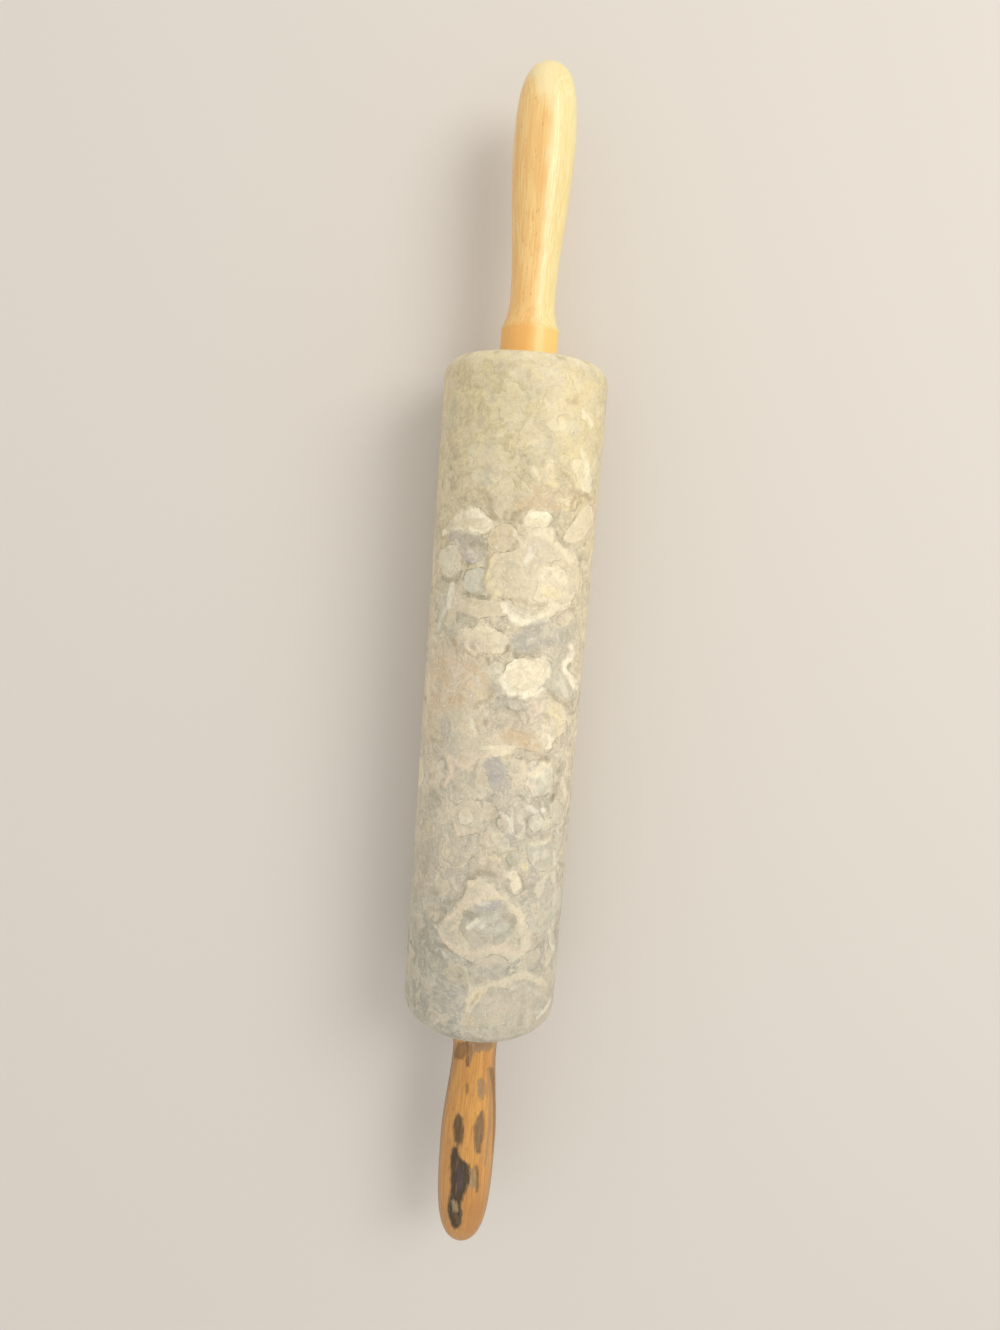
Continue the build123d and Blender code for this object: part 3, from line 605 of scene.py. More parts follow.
    ("olive", 0.38, 0.87, [(113, 18.4)]), ("olive", 0.32, 0.87, [(120.4, 4.8)]),
    ("olive", 0.32, 0.68, [(101.6, 14.5), (100.6, 14.1)]), ("olive", 0.32, 0.87, [(101.9, 0.3)]),
    ("olive", 0.27, 0.87, [(105.7, -5.2)]), ("brown", 0.32, 0.68, [(110.6, 4.4)]),
    ("brown", 0.43, 0.87, [(110.8, -15), (111.2, -18.4)]), ("olive", 0.27, 0.87, [(97.2, -9.8)]),
    ("olive", 0.19, 1.63, [(106.3, 27.8), (104.8, 24.2)]), ("olive", 0.22, 1.25, [(99.1, 27), (101.2, 28.5)]),
    ("olive", 0.22, 1.25, [(120.2, 9.7), (118.2, 9.2)]), ("olive", 0.22, 1.06, [(105, 18.1)]),
    ("brown", 0.22, 1.25, [(106.3, -13.5), (105.2, -15.2)]),
    ("olive", 0.16, 1.44, [(104.4, -25.3), (101.6, -24.6)]),
    ("orange", 0.27, 1.44, [(98.1, -1.3), (98.6, -3.3)]), ("olive", 0.54, 1.44, [(81.8, 27.3), (79.7, 26.5)]),
    ("olive", 0.27, 1.44, [(91.8, 27.3), (90.4, 25.4)]), ("moss", 0.63, 2.21, [(82.2, 12.9), (83.6, 11.1)]),
    ("olive", 0.43, 0.87, [(91.4, -0.5), (91.1, -1.6)]), ("olive", 0.32, 0.87, [(90.1, 3.5)]),
    ("olive", 0.27, 1.06, [(88.9, -3.1), (88.4, -4.5)]), ("olive", 0.32, 0.68, [(94.2, -9.7), (92.1, -12.2)]),
    ("brown", 0.72, 0.68, [(81.6, -19.5), (80.1, -22.6), (80.1, -26.6), (79.1, -31.9)]),
    ("brown", 0.63, 0.68, [(89.3, -14.8), (86.9, -13.8), (85.1, -16.5), (83.6, -19.3), (81.3, -20.5)]),
    ("olive", 0.63, 0.87, [(74.9, 15.9)]), ("brown", 0.54, 0.68, [(77.2, 11), (74.5, 9.7)]),
    ("orange", 0.72, 1.44, [(74.6, -1.5), (76, -5.6), (75.6, -9.9), (74.9, -13.8)]),
    ("brown", 0.63, 0.68, [(72.6, -1.3), (73.5, -3.7)]),
    ("brown", 0.63, 0.58, [(79.7, -22.2), (76.8, -20.5), (73.7, -20)]),
    ("brown", 0.72, 0.58, [(72.5, 9.2), (70.5, 8.3), (69.2, 7.8)]),
    ("brown", 0.63, 0.68, [(69.6, 1.9), (71, 1.3), (71.8, -0.3)]),
    ("olive", 0.72, 0.68, [(67.9, -11.4), (69.7, -12.7), (71.5, -14.1), (73.3, -14.4)]),
    ("olive", 0.72, 0.68, [(66.7, -14.6), (64.4, -16.1), (62.8, -18), (61.9, -20.4)]),
    ("grey", 0.72, 1.83, [(62.2, 25.1), (62.5, 20), (61.4, 15.6)]),
    ("olive", 0.54, 1.06, [(62.1, 16.5), (60.8, 14.7)]), ("dark", 0.54, 0.87, [(53.6, 18.3), (52.7, 16.5)]),
    ("olive", 0.72, 0.68, [(61.3, 12.8), (59.4, 10.7), (57.4, 9.4)]),
    ("brown", 0.72, 0.87, [(57.3, 10.2), (56.7, 9)]), ("brown", 0.72, 0.87, [(61.6, -0.8), (60.2, -0.2)]),
    ("lavender", 0.72, 1.44, [(58.1, 18.7), (55.4, 16.7), (57.1, 12.8)]),
    ("olive", 0.72, 0.87, [(47.3, 29.7), (46.6, 25.1), (48.1, 20.6), (49.6, 18.8)]),
    ("olive", 0.72, 0.58, [(55, 9.6), (50.5, 9.3), (46.6, 9.7), (43.8, 9.5)]),
    ("olive", 0.72, 0.87, [(42.4, 17.3), (42.4, 14), (43, 10.5), (42.3, 7.5)]),
    ("brown", 0.4, 0.58, [(42, 3.2), (41.9, -1), (41.2, -4.9), (40.3, -8.9), (40.5, -13.1)]),
    ("buff", 0.72, 2.4, [(60.9, -9), (59.3, -12.2), (57.5, -9.7)]),
    ("drab", 0.54, 0.68, [(50, 2.5), (47.3, 1.2)]),
    ("olive", 0.63, 0.68, [(35.7, -17.3), (38.2, -19.3), (39.3, -22.6), (39.6, -26.6)]),
    ("grey", 0.63, 1.44, [(32.9, -8.1), (34.1, -11.7), (34.9, -14.9)]),
    ("olive", 0.63, 1.83, [(34.1, 18.8), (33.7, 15.7), (32.9, 13.2)]),
    ("drab", 0.54, 1.44, [(29.3, 19.8), (26.1, 16.8)]),
    ("brown", 0.77, 0.58, [(25.8, 21.4), (23.3, 18.8), (22, 14.8), (21.8, 10.8), (22.6, 7.1)]),
    ("brown", 0.85, 0.87, [(24.2, 12.1), (23.9, 11.3)]),
    ("brown", 0.81, 0.68, [(22.5, 7.8), (21.2, 6.6), (19.5, 6.1)]),
    ("grey", 0.77, 2.4, [(28.1, -3.8), (30.8, -7.9), (32, -13.1), (28.5, -16.8), (26.3, -12.1),
     (24.7, -5.5)]),
    ("olive", 0.63, 1.06, [(23.1, -3.5), (22.6, -6.4), (22, -9.4), (23.5, -11.5)]),
    ("dark", 0.54, 0.87, [(22.3, -8.6), (22.7, -10.1)]), ("dark", 0.45, 0.68, [(24.5, -12.2), (23.9, -14.3)]),
    ("grey", 0.63, 1.63, [(31.4, -20.1), (26.6, -22.7), (23, -22.1)]), ("olive", 0.72, 0.87, [(18.5, -26)]),
    ("moss", 0.63, 1.44, [(18.4, -18.3), (14, -21.1)]),
    ("dark", 0.63, 0.68, [(8.7, -1.4), (7.4, -3.3), (7.5, -6.2)]),
    ("grey", 0.63, 1.25, [(6.1, -6.3), (3.3, -8)]),
    ("grey", 0.63, 1.83, [(9.8, 3.3), (6.4, 0.9), (5.9, -2.7)]),
    ("olive", 0.63, 0.68, [(9.7, -17.4), (7.4, -20.4), (5.7, -24.3), (2.4, -27.8)]),
    ("orange", 0.45, 2.4, [(14.8, 24.5), (11, 21)]), ("orange", 0.45, 0.87, [(18.8, 11.7), (15, 11)]),
    ("orange", 0.41, 2.02, [(4, 19.4), (3.6, 14.9)]),
    ("brown", 0.54, 0.68, [(3.4, 11.7), (2.2, 9.3), (4.3, 6.8), (6.4, 4.8), (9, 3.6)]),
    ("dark", 0.81, 0.87, [(4.1, -2.5)]), ("olive", 0.54, 0.68, [(2.8, -4.4), (1.4, -6.3)]),
    ("olive", 0.54, 0.68, [(1.7, -16.9), (0.2, -18.4)]),
    ("orange", 0.63, 1.83, [(-4.8, 31.8), (-8.7, 30.4), (-12.9, 32.3)]),
    ("grey", 0.63, 2.4, [(-4, 22.6), (-7.8, 21.2)]), ("olive", 0.36, 0.87, [(-12.9, 29), (-12.5, 23.9)]),
    ("orange", 0.72, 1.63, [(-6.4, -3), (-5.1, -6.5), (-6.5, -10.3)]),
    ("orange", 0.63, 1.06, [(-8.4, -7.5), (-9.5, -11.4), (-11.1, -14.7)]),
    ("brown", 0.63, 0.68, [(-12.1, -12.8), (-14.1, -15.9), (-15.8, -19.6)]),
    ("brown", 0.54, 0.68, [(-4.5, 8), (-6.3, 7.5)]), ("brown", 0.45, 0.68, [(-17.7, 7.7), (-19.1, 7.3)]),
    ("lavender", 0.81, 2.4, [(-17, 2.7), (-16.8, 0.2), (-20.2, 0.6)]),
    ("lavender", 0.81, 1.83, [(-22.7, 0.1), (-25.2, -1.2)]),
    ("grey", 0.54, 1.06, [(-26.2, -2.7), (-28.7, -5.8)]),
    ("olive", 0.45, 0.68, [(-15.7, -22.1), (-19.8, -24.2), (-22.6, -22.9)]),
    ("dark", 0.77, 0.87, [(-30.6, -23.4), (-30, -24.4)]),
    ("olive", 0.54, 0.68, [(-27.9, -8.3), (-29.8, -10.8), (-32.1, -9.8)]),
    ("olive", 0.45, 0.68, [(-29.9, -13.2), (-29, -16.5), (-27.4, -19)]),
    ("olive", 0.36, 1.63, [(-31.4, 26.7), (-33, 24.1)]),
    ("olive", 0.45, 0.68, [(-34.3, -7.7), (-37.3, -8.7), (-41, -8.7)]),
    ("olive", 0.45, 0.68, [(-35.5, -12.5), (-39.7, -13.2)]),
    ("grey", 0.54, 1.63, [(-45.6, -4.2), (-44.8, -6.3)]),
    ("olive", 0.36, 0.68, [(-34.5, -0.4), (-37.6, 0.4), (-40.5, -0.9)]),
    ("olive", 0.45, 0.68, [(-49.3, -5.9), (-52.3, -8.1), (-54.4, -10.9)]),
    ("dark", 0.45, 1.06, [(-54.6, -7.1), (-53.1, -6.2)]),
    ("olive", 0.54, 0.68, [(-57.1, -12.4), (-61, -13.1), (-64.1, -12.6)]),
    ("grey", 0.54, 1.83, [(-57.6, -16.6), (-60.3, -19.2)]),
    ("olive", 0.63, 0.68, [(-60.2, 6.8), (-57.9, 4), (-56.8, 0.8), (-58.1, -1.9)]),
    ("dark", 0.54, 0.68, [(-60, 5.3)]), ("olive", 0.72, 0.68, [(-61.8, -5.4), (-64.6, -8.3), (-67, -11.2)]),
    ("olive", 0.72, 0.68, [(-59.6, 7.6), (-63.5, 8.1), (-67.2, 9.4), (-70.8, 11.5), (-74.3, 13.3),
     (-77, 16.1), (-79.8, 17.7)]),
    ("olive", 0.45, 2.02, [(-74.7, 16.3), (-71.8, 14.3)]), ("dark", 0.5, 1.63, [(-73.7, 7), (-74.2, 5)]),
    ("lavender", 0.85, 1.06, [(-70.6, 1.2), (-70.4, -2), (-68.7, -4.9)]),
    ("olive", 0.63, 1.06, [(-73.8, -8.3), (-76.6, -10), (-80.1, -9.5)]),
    ("olive", 0.54, 0.87, [(-82.7, -5.2), (-82.3, -7)]),
    ("olive", 0.36, 0.68, [(-77, 8.3), (-80.5, 8), (-83.3, 6.3)]),
    ("olive", 0.36, 0.58, [(-84.9, -10.7), (-84.3, -12.7)]),
    ("olive", 0.45, 2.78, [(-87.8, 25.6), (-93.3, 26.3), (-93.8, 20.4)]),
    ("olive", 0.41, 3.17, [(-95.7, 14.2), (-97.2, 9.5), (-101.9, 7.6)]),
    ("lavender", 0.54, 2.78, [(-104.8, 8.2), (-109.3, 8.6), (-113.2, 9.9)]),
    ("grey", 0.54, 2.02, [(-95.9, 1.6), (-96.3, -4), (-95.6, -6.9)]),
    ("olive", 0.45, 1.25, [(-99.5, 2.1), (-100.1, 0.2)]), ("rose", 0.63, 2.4, [(-92.3, 1.5), (-92, -2.9)]),
    ("brown", 0.45, 0.58, [(-108.2, 2.6), (-105.7, 0.9), (-103.6, -0.1)]),
    ("rose", 0.63, 2.02, [(-107.4, -6), (-110.4, -9.3)]),
    ("grey", 0.54, 1.63, [(-110.4, -24.3), (-113.1, -28.4)]),
    ("olive", 0.45, 1.06, [(-114.9, -17.2), (-116.5, -18.7)]),
    ("olive", 0.36, 1.63, [(-118.6, 24.9), (-118.3, 20.3)]),
    ("brown", 0.36, 1.25, [(-83.1, -19.6), (-85, -21.3)]),
    ("brown", 0.45, 0.68, [(-88.5, 13.9), (-89.5, 11.7)]),
    ("grey", 0.45, 1.83, [(-94.9, -19.4), (-98.9, -25.2)]),
    ("olive", 0.36, 1.63, [(-69.9, 18.6), (-69.7, 22.7)]),
    ("olive", 0.36, 1.44, [(-63, 28.5), (-58.3, 26.3), (-54, 24.9)]),
]]


# How outlines stray on the stone, in two waves: millimetres of reach, and features a millimetre
straying = ((0.9, 0.13), (0.7, 0.37))
# How far round an outline its margins are kept, and the margin of a point further off, in millimetres
margin_reach = 3
far_off = 9.0
# The colour where there is no stain or painted light, and the widths over which both fade and are kept,
# in millimetres
unstained = (0.6, 0.55, 0.42, 0.0)
stain_and_light_fade = 5
stain_and_light_reach = 6
# The middle and the reach of the side out of view, round the stone from its top, in millimetres
hidden_side = 94.2
hidden_reach = 50


def gaps(start, side, spots):
    """The distance of each spot from the nearest of several straight lines, each with its start and run."""
    reach = spots[:, None] - start
    share = np.clip((reach * side).sum(2) / np.maximum((side * side).sum(1), 1e-9), 0, 1)
    gap = reach - share[..., None] * side
    return np.sqrt((gap * gap).sum(2).min(1))


def margins(corners, spots):
    """The distance of each spot from an outline drawn on the unrolled stone, in millimetres, and negative
    inside it. The outline's corners are cut once."""
    start = np.array(corners, float)
    following = np.roll(start, -1, axis=0)
    cuts = start * 0.75 + following * 0.25, start * 0.25 + following * 0.75
    start = np.stack(cuts, 1).reshape(-1, 2)
    side = np.roll(start, -1, axis=0) - start
    nearest = gaps(start, side, spots)
    height = spots[:, 1:]
    crossed = (start[:, 1] > height) != ((start + side)[:, 1] > height)
    with np.errstate(divide="ignore", invalid="ignore"):
        meets = start[:, 0] + (height - start[:, 1]) * side[:, 0] / side[:, 1]
    inside = (crossed & (spots[:, :1] < meets)).sum(1) % 2 == 1
    return np.where(inside, -nearest, nearest)


def stroke_margins(corners, half_width, spots):
    """The same distance from a stroke's edge. A single corner makes a round spot."""
    ends = np.array(corners[1:] or corners, float)
    start = np.array(corners, float)[:len(ends)]
    return gaps(start, ends - start, spots) - half_width


def points_of(mesh, what="co"):
    """The points of a mesh, or their normals, as rows of an array."""
    values = np.empty(len(mesh.vertices) * 3)
    mesh.vertices.foreach_get(what, values)
    return values.reshape(-1, 3)


def unrolled(points, radius, end, rounding):
    """Each point's place along and round a turned skin, in millimetres, measured on over its rolled ends."""
    far = np.abs(points[:, 0])
    across = np.hypot(points[:, 1], points[:, 2] - axis_height)
    past = np.maximum(far - end + rounding, 0)
    drop = radius - across
    rolled = end - rounding + rounding * np.arctan2(past, np.maximum(rounding - drop, 0))
    rolled += np.maximum(drop - rounding, 0)
    along = np.sign(points[:, 0]) * np.where(past > 0, rolled, far)
    return 1000 * np.stack((along, radius * np.arctan2(points[:, 1], points[:, 2] - axis_height)), 1)


def strayed(points):
    """How far outlines stray along and round the stone at each point, in millimetres, to come out ragged."""
    spots = [Vector(point) * 1000 for point in points]
    ways = []
    for apart in (Vector((0, 0, 0)), Vector((0, 0, 500))):
        ways.append([sum(far * noise((spot + apart) * scale) for far, scale in straying) for spot in spots])
    return np.array(ways).T


def near(corners, places, radius, reach):
    """Which places lie within reach of an outline, and those places turned round to the outline's side."""
    middle = np.mean(corners, axis=0)[1]
    turn = 2000 * pi * radius
    moved = places.copy()
    moved[:, 1] = (places[:, 1] - middle + turn / 2) % turn - turn / 2 + middle
    low_corner = np.min(corners, axis=0) - reach
    high_corner = np.max(corners, axis=0) + reach
    close = np.flatnonzero(((moved > low_corner) & (moved < high_corner)).all(1))
    return close, moved[close]


def keep(mesh, name, kind, values):
    """Keeps a value for each point of a mesh, for its material to read."""
    holder = {"FLOAT": "value", "FLOAT_VECTOR": "vector", "FLOAT_COLOR": "color"}[kind]
    mesh.attributes.new(name, kind, "POINT").data.foreach_set(holder, values.ravel())


def sink(mesh, points, depths):
    """Moves the points of a mesh inwards, each by its own depth in metres."""
    points -= points_of(mesh, "normal") * depths[:, None]
    mesh.vertices.foreach_set("co", points.ravel())
    mesh.update()


def paint_layer(mesh, number, layer, places, radius, tones):
    """Keeps a numbered layer of outlines and strokes on a mesh: each point's distance from the nearest edge
    with the rim width and dark line there, and the tones of the body and its rim. Gives those distances."""
    skin = np.tile((far_off, 0.5, 0.0), (len(places), 1))
    body_tone = np.ones((len(places), 4))
    rim_tone = np.ones((len(places), 4))
    for body, rim, cover, rim_width, line_cover, corners, half_width in layer:
        close, spots = near(corners, places, radius, margin_reach + half_width)
        margin = stroke_margins(corners, half_width, spots) if half_width else margins(corners, spots)
        before = skin[close, 0]
        beside = (margin >= 0) & (before <= 0)
        skin[close[beside], 0] = np.maximum(before, -margin)[beside]
        wins = (margin < 0) | ((before > 0) & (margin < before))
        close = close[wins]
        edge = np.full(len(close), rim_width), np.full(len(close), line_cover)
        skin[close] = np.stack((margin[wins], *edge), 1)
        body_tone[close] = (*tones[body][:3], cover)
        rim_tone[close] = tones[rim]
    keep(mesh, f"skin {number}", "FLOAT_VECTOR", skin)
    keep(mesh, f"body {number}", "FLOAT_COLOR", body_tone)
    keep(mesh, f"rim {number}", "FLOAT_COLOR", rim_tone)
    return skin[:, 0]


def scattered_lumps():
    """More lumps of the same kinds for the side out of view, from a fixed draw, with wavering outlines."""
    draw = Random(21)
    rims = ("cream", "willow", "sage", "sand")
    broad = ("sand", "cream", "sage", "buff", "moss", "rose", "drab", "bright", "tan", "lavender")
    broad += ("willow", "grey")
    small = ("chalk", "willow", "olive", "cream")
    sizes = ((broad, 30, 5.5, 12.0), (broad, 80, 2.2, 5.0), (small, 60, 0.5, 1.6))
    layers = []
    for tones, count, smallest, largest in sizes:
        layer = []
        for _ in range(count):
            middle = draw.uniform(-128, 128), hidden_side + draw.uniform(-hidden_reach, hidden_reach)
            size = draw.uniform(smallest, largest)
            stretch = draw.uniform(0.65, 1.35)
            lean = draw.uniform(0, pi)
            corners = []
            for step in range(9):
                angle = tau * step / 9
                arm = size * draw.uniform(0.72, 1.15)
                x, y = arm * cos(angle) * stretch, arm * sin(angle) / stretch
                along = middle[0] + x * cos(lean) - y * sin(lean)
                around = middle[1] + x * sin(lean) + y * cos(lean)
                corners.append((along, around))
            body = draw.choice(tones)
            rim = draw.choice(rims)
            rim_width = draw.uniform(0.6, 1.5) if tones is broad else 0.4
            layer.append((body, rim, draw.uniform(0.6, 0.9), rim_width, draw.uniform(0.2, 0.9), corners))
        layers.append(layer)
    return layers


def scattered_strokes():
    """More strokes and spots for the side out of view, pale ones and dark ones, from a fixed draw."""
    draw = Random(34)
    pale = ("chalk", "white", "bright", "willow", "pink", "cream")
    dark = ("olive", "brown", "grey", "dark", "lavender")
    layers = []
    for tones in (pale, dark):
        layer = []
        for _ in range(110):
            spot = draw.uniform(-126, 126), hidden_side + draw.uniform(-hidden_reach, hidden_reach)
            heading = draw.uniform(0, tau)
            corners = [spot]
            for _ in range(draw.randrange(5)):
                heading += draw.uniform(-1.1, 1.1)
                step = draw.uniform(1.6, 4.0)
                spot = spot[0] + step * cos(heading), spot[1] + step * sin(heading)
                corners.append(spot)
            half_width = draw.uniform(0.6, 1.0) if len(corners) > 2 else draw.uniform(0.7, 2.2)
            layer.append((draw.choice(tones), draw.uniform(0.4, 0.9), half_width, corners))
        layers.append(layer)
    return layers


def scattered_marks():
    """Pits all over the stone and larger nicks round its ends, from a fixed draw. Each has a place along and
    round the stone, a radius and a depth, in millimetres."""
    draw = Random(8)
    marks = []
    for _ in range(60):
        spot = draw.uniform(-118, 118), draw.uniform(-94, 94)
        marks.append((*spot, draw.uniform(1.1, 2.0), draw.uniform(0.05, 0.14)))
    for _ in range(26):
        spot = draw.choice((-1, 1)) * draw.uniform(121.5, 128), draw.uniform(-94, 94)
        marks.append((*spot, draw.uniform(1.5, 3.0), draw.uniform(0.12, 0.32)))
    return marks


recess_floor = barrel_end - barrel_recess_depth
outline = [
    (recess_floor, barrel_recess_radius, 0),
    (barrel_end, barrel_recess_radius, 0),
    (barrel_end, barrel_radius, barrel_rounding),
    (-barrel_end, barrel_radius, barrel_rounding),
    (-barrel_end, barrel_recess_radius, 0),
    (-recess_floor, barrel_recess_radius, 0),
    (-recess_floor, bore_radius + bore_mouth_chamfer, 0),
    (bore_mouth_chamfer - recess_floor, bore_radius, 0),
    (recess_floor - bore_mouth_chamfer, bore_radius, 0),
    (recess_floor, bore_radius + bore_mouth_chamfer, 0),
]
roller = turned(outline, barrel_facets, barrel_pace, barrel_plain_radius)

marble, tree, shader = finish_named("honed marble")
roller = piece_from(roller, "marble_roller", marble, "barrel", "marble_barrel").data
points = points_of(roller)
places = unrolled(points, barrel_radius, barrel_end, barrel_rounding) + strayed(points)

sunk = np.zeros(len(points))
depths = np.zeros(len(points))
for along, around, radius, depth in scattered_marks():
    close, spots = near([(along, around)], places, barrel_radius, radius)
    gap = np.hypot(spots[:, 0] - along, spots[:, 1] - around) / radius
    share = np.maximum(1 - gap * gap, 0) ** 1.5
    depths[close] += share * depth * 0.001
    sunk[close] = np.maximum(sunk[close], share)
sink(roller, points, depths)
keep(roller, "sunk", "FLOAT", sunk)

stain_and_light_tone = np.tile(unstained, (len(places), 1))
for tone, cover, corners in stains_and_painted_light:
    close, spots = near(corners, places, barrel_radius, stain_and_light_reach)
    share = cover * np.clip(0.5 - margins(corners, spots) / stain_and_light_fade, 0, 1)[:, None]
    stain_and_light_tone[close, 3:] = share + stain_and_light_tone[close, 3:] * (1 - share)
    blend = share / np.maximum(stain_and_light_tone[close, 3:], 1e-6)
    stain_and_light_tone[close, :3] = stain_and_light_tone[close, :3] * (1 - blend) + np.array(stone[tone][:3]) * blend
keep(roller, "stain_and_light", "FLOAT_COLOR", stain_and_light_tone)

layers = [[(*drawn, 0) for drawn in hidden + seen] for seen, hidden in zip(lumps, scattered_lumps())]
for seen, hidden in zip(strokes, scattered_strokes()):
    drawn = hidden + seen
    layers.append([(tone, tone, cover, 0.5, 0.0, corners, width) for tone, cover, width, corners in drawn])
for number, layer in enumerate(layers):
    paint_layer(roller, number, layer, places, barrel_radius, stone)

rimmed, taken, given = effect(
    "rimmed lump",
    {
        "Ground": "Color", "Margin": "Float", "Body": "Color", "Rim": "Color", "Line": "Color",
        "Cover": "Float", "Rim width": "Float", "Line cover": "Float", "Patches": "Float", "Breaks": "Float",
    },
    {"Colour": "Color"},
)
margin, breaks, patches = taken["Margin"], taken["Breaks"], taken["Patches"]
softness = ramp(rimmed, breaks, 0.38, 0.62, 0.25, 0.9)
line_width = ramp(rimmed, patches, 0.35, 0.6, 0.6, 0.25)
outside = sums(rimmed, "ABSOLUTE", sums(rimmed, "SUBTRACT", margin, 0.15))
line = times(rimmed, ramp(rimmed, outside, line_width, 0.0), taken["Line cover"])
line = times(rimmed, line, ramp(rimmed, breaks, 0.58, 0.44))
inside = ramp(rimmed, margin, softness, times(rimmed, softness, -1.0))
inside = times(rimmed, inside, taken["Cover"])
rim_start = times(rimmed, taken["Rim width"], -1.8)
rim_end = times(rimmed, taken["Rim width"], -0.3)
rim = times(rimmed, ramp(rimmed, margin, rim_start, rim_end), inside)
rim = times(rimmed, rim, ramp(rimmed, breaks, 0.42, 0.56))
fill = times(rimmed, inside, ramp(rimmed, patches, 0.4, 0.62, 1.0, 0.45))
body = over(rimmed, ramp(rimmed, patches, 0.42, 0.3, 0.0, 0.7), taken["Body"], taken["Rim"])
colour = over(rimmed, line, taken["Ground"], taken["Line"])
colour = over(rimmed, fill, colour, body)
rimmed.links.new(over(rimmed, rim, colour, taken["Rim"]), given["Colour"])


def bands(tree, share, shades):
    """A colour that changes along a share from 0 to 1, through shades spaced evenly."""
    steps = add(tree, "ValToRGB", {0: share})
    while len(steps.color_ramp.elements) < len(shades):
        steps.color_ramp.elements.new(0.5)
    for number, shade in enumerate(shades):
        steps.color_ramp.elements[number].position = number / (len(shades) - 1)
        steps.color_ramp.elements[number].color = shade
    return steps


def drawn_layer(tree, number, ground, line):
    """What the rimmed lumps take from a numbered layer that is kept on the mesh, and the margin in it."""
    names = [f"{part} {number}" for part in ("skin", "body", "rim")]
    skin, body, rim = [add(tree, "Attribute", attribute_name=name).outputs for name in names]
    skin = add(tree, "SeparateXYZ", {0: skin["Vector"]}).outputs
    look = {
        "Ground": ground, "Body": body["Color"], "Rim": rim["Color"], "Line": line,
        "Cover": body["Alpha"], "Rim width": skin[1], "Line cover": skin[2],
    }
    return look, skin[0]


# The ground drifts from grey at the amber handle to sandy at the honey one, in a darker and a lighter tone.
# The drift is partly the stone's own, partly painted shade at the amber end and painted sunlight at the honey
# end
place = scaled(tree, add(tree, "TexCoord").outputs["Object"], 1000.0)
place = shifts(tree, "ADD", place, (0, 0, -1000 * axis_height))
along = add(tree, "SeparateXYZ", {0: place}).outputs[0]
bend = shifts(tree, "SUBTRACT", cloud(tree, place, 0.11, 2.0).outputs["Color"], (0.5, 0.5, 0.5))
bent_place = shifts(tree, "MULTIPLY_ADD", bend, (16.0, 16.0, 16.0), place)
middling = cloud(tree, bent_place, 0.15, 3.0, 0.5).outputs[0]
fine = cloud(tree, bent_place, 0.5, 3.0, 0.5).outputs[0]
speck = cloud(tree, place, 1.25, 2.0, 0.6).outputs[0]
drifts = parted(tree, cloud(tree, place, 0.14))
reach = sums(tree, "SUBTRACT", cloud(tree, place, 0.04, 4.0, 0.6).outputs[0], 0.5)
reach = sums(tree, "MULTIPLY_ADD", reach, 90.0, along)
reach = sums(tree, "MULTIPLY_ADD", reach, 1 / 230, 0.5)
ground_tones = (
    ((150, 145, 127), (172, 163, 143), (184, 173, 148), (186, 173, 142), (196, 181, 141)),
    ((195, 188, 168), (209, 200, 178), (223, 209, 181), (224, 208, 171), (226, 209, 160)),
)
dark_ground, light_ground = [
    bands(tree, reach, [paint(*tone) for tone in tones]).outputs[0] for tones in ground_tones
]
contrast = ramp(tree, along, -40.0, -105.0, 1.7, 2.6)
share = sums(tree, "MULTIPLY_ADD", middling, 2.6, -0.8)
share = sums(tree, "MULTIPLY_ADD", sums(tree, "SUBTRACT", fine, 0.5), contrast, share, clamp=True)
ground = over(tree, share, dark_ground, light_ground)
# The stains, with the painted highlight on the rolled ends and painted shade on the side away from the lamp
stain_and_light = add(tree, "Attribute", attribute_name="stain_and_light").outputs
stain_and_light_cover = times(tree, stain_and_light["Alpha"], ramp(tree, share, 0.9, 0.2, 0.35, 0.9))
ground = over(tree, stain_and_light_cover, ground, stain_and_light["Color"])

# Folded pale and dark bands, in some places only
turns = cloud(tree, bent_place, 0.055, 2.0, 0.4).outputs[0]
turns = sums(tree, "PINGPONG", times(tree, turns, 11.0), 1.0)
here = ramp(tree, drifts[1], 0.48, 0.6)
ground = over(tree, times(tree, here, ramp(tree, turns, 0.6, 1.0, 0.0, 0.45)), ground, stone["cream"])
ground = over(tree, times(tree, here, ramp(tree, turns, 0.2, 0.0, 0.0, 0.25)), ground, stone["olive"])

# Small faint lumps all over: their size and the least and most of their width, cover and dark line
palette = ["moss", "cream", "sage", "sand", "buff", "tan", "cream", "bright", "rose", "drab"]
for size, smallest, largest, cover, line_cover in ((2.6, 0.2, 0.6, 0.35, 0.12), (7.0, 0.25, 0.65, 0.5, 0.2)):
    scattered = add(tree, "TexVoronoi", {"Vector": bent_place, "Scale": 1 / size})
    chance = parted(tree, scattered)
    bodies = bands(tree, chance[0], [stone[tone] for tone in palette])
    bodies.color_ramp.interpolation = "CONSTANT"
    wide = ramp(tree, chance[1], 0.0, 1.0, smallest, largest)
    present = sums(tree, "LESS_THAN", chance[2], 0.75)
    look = {
        "Ground": ground, "Body": bodies.outputs[0], "Rim": stone["cream"], "Line": stone["dark"],
        "Margin": times(tree, sums(tree, "SUBTRACT", scattered.outputs["Distance"], wide), size),
        "Cover": times(tree, present, cover), "Rim width": 0.12 * size,
        "Line cover": times(tree, present, line_cover), "Patches": fine, "Breaks": drifts[2],
    }
    ground = add(tree, "Group", look, node_tree=rimmed).outputs[0]

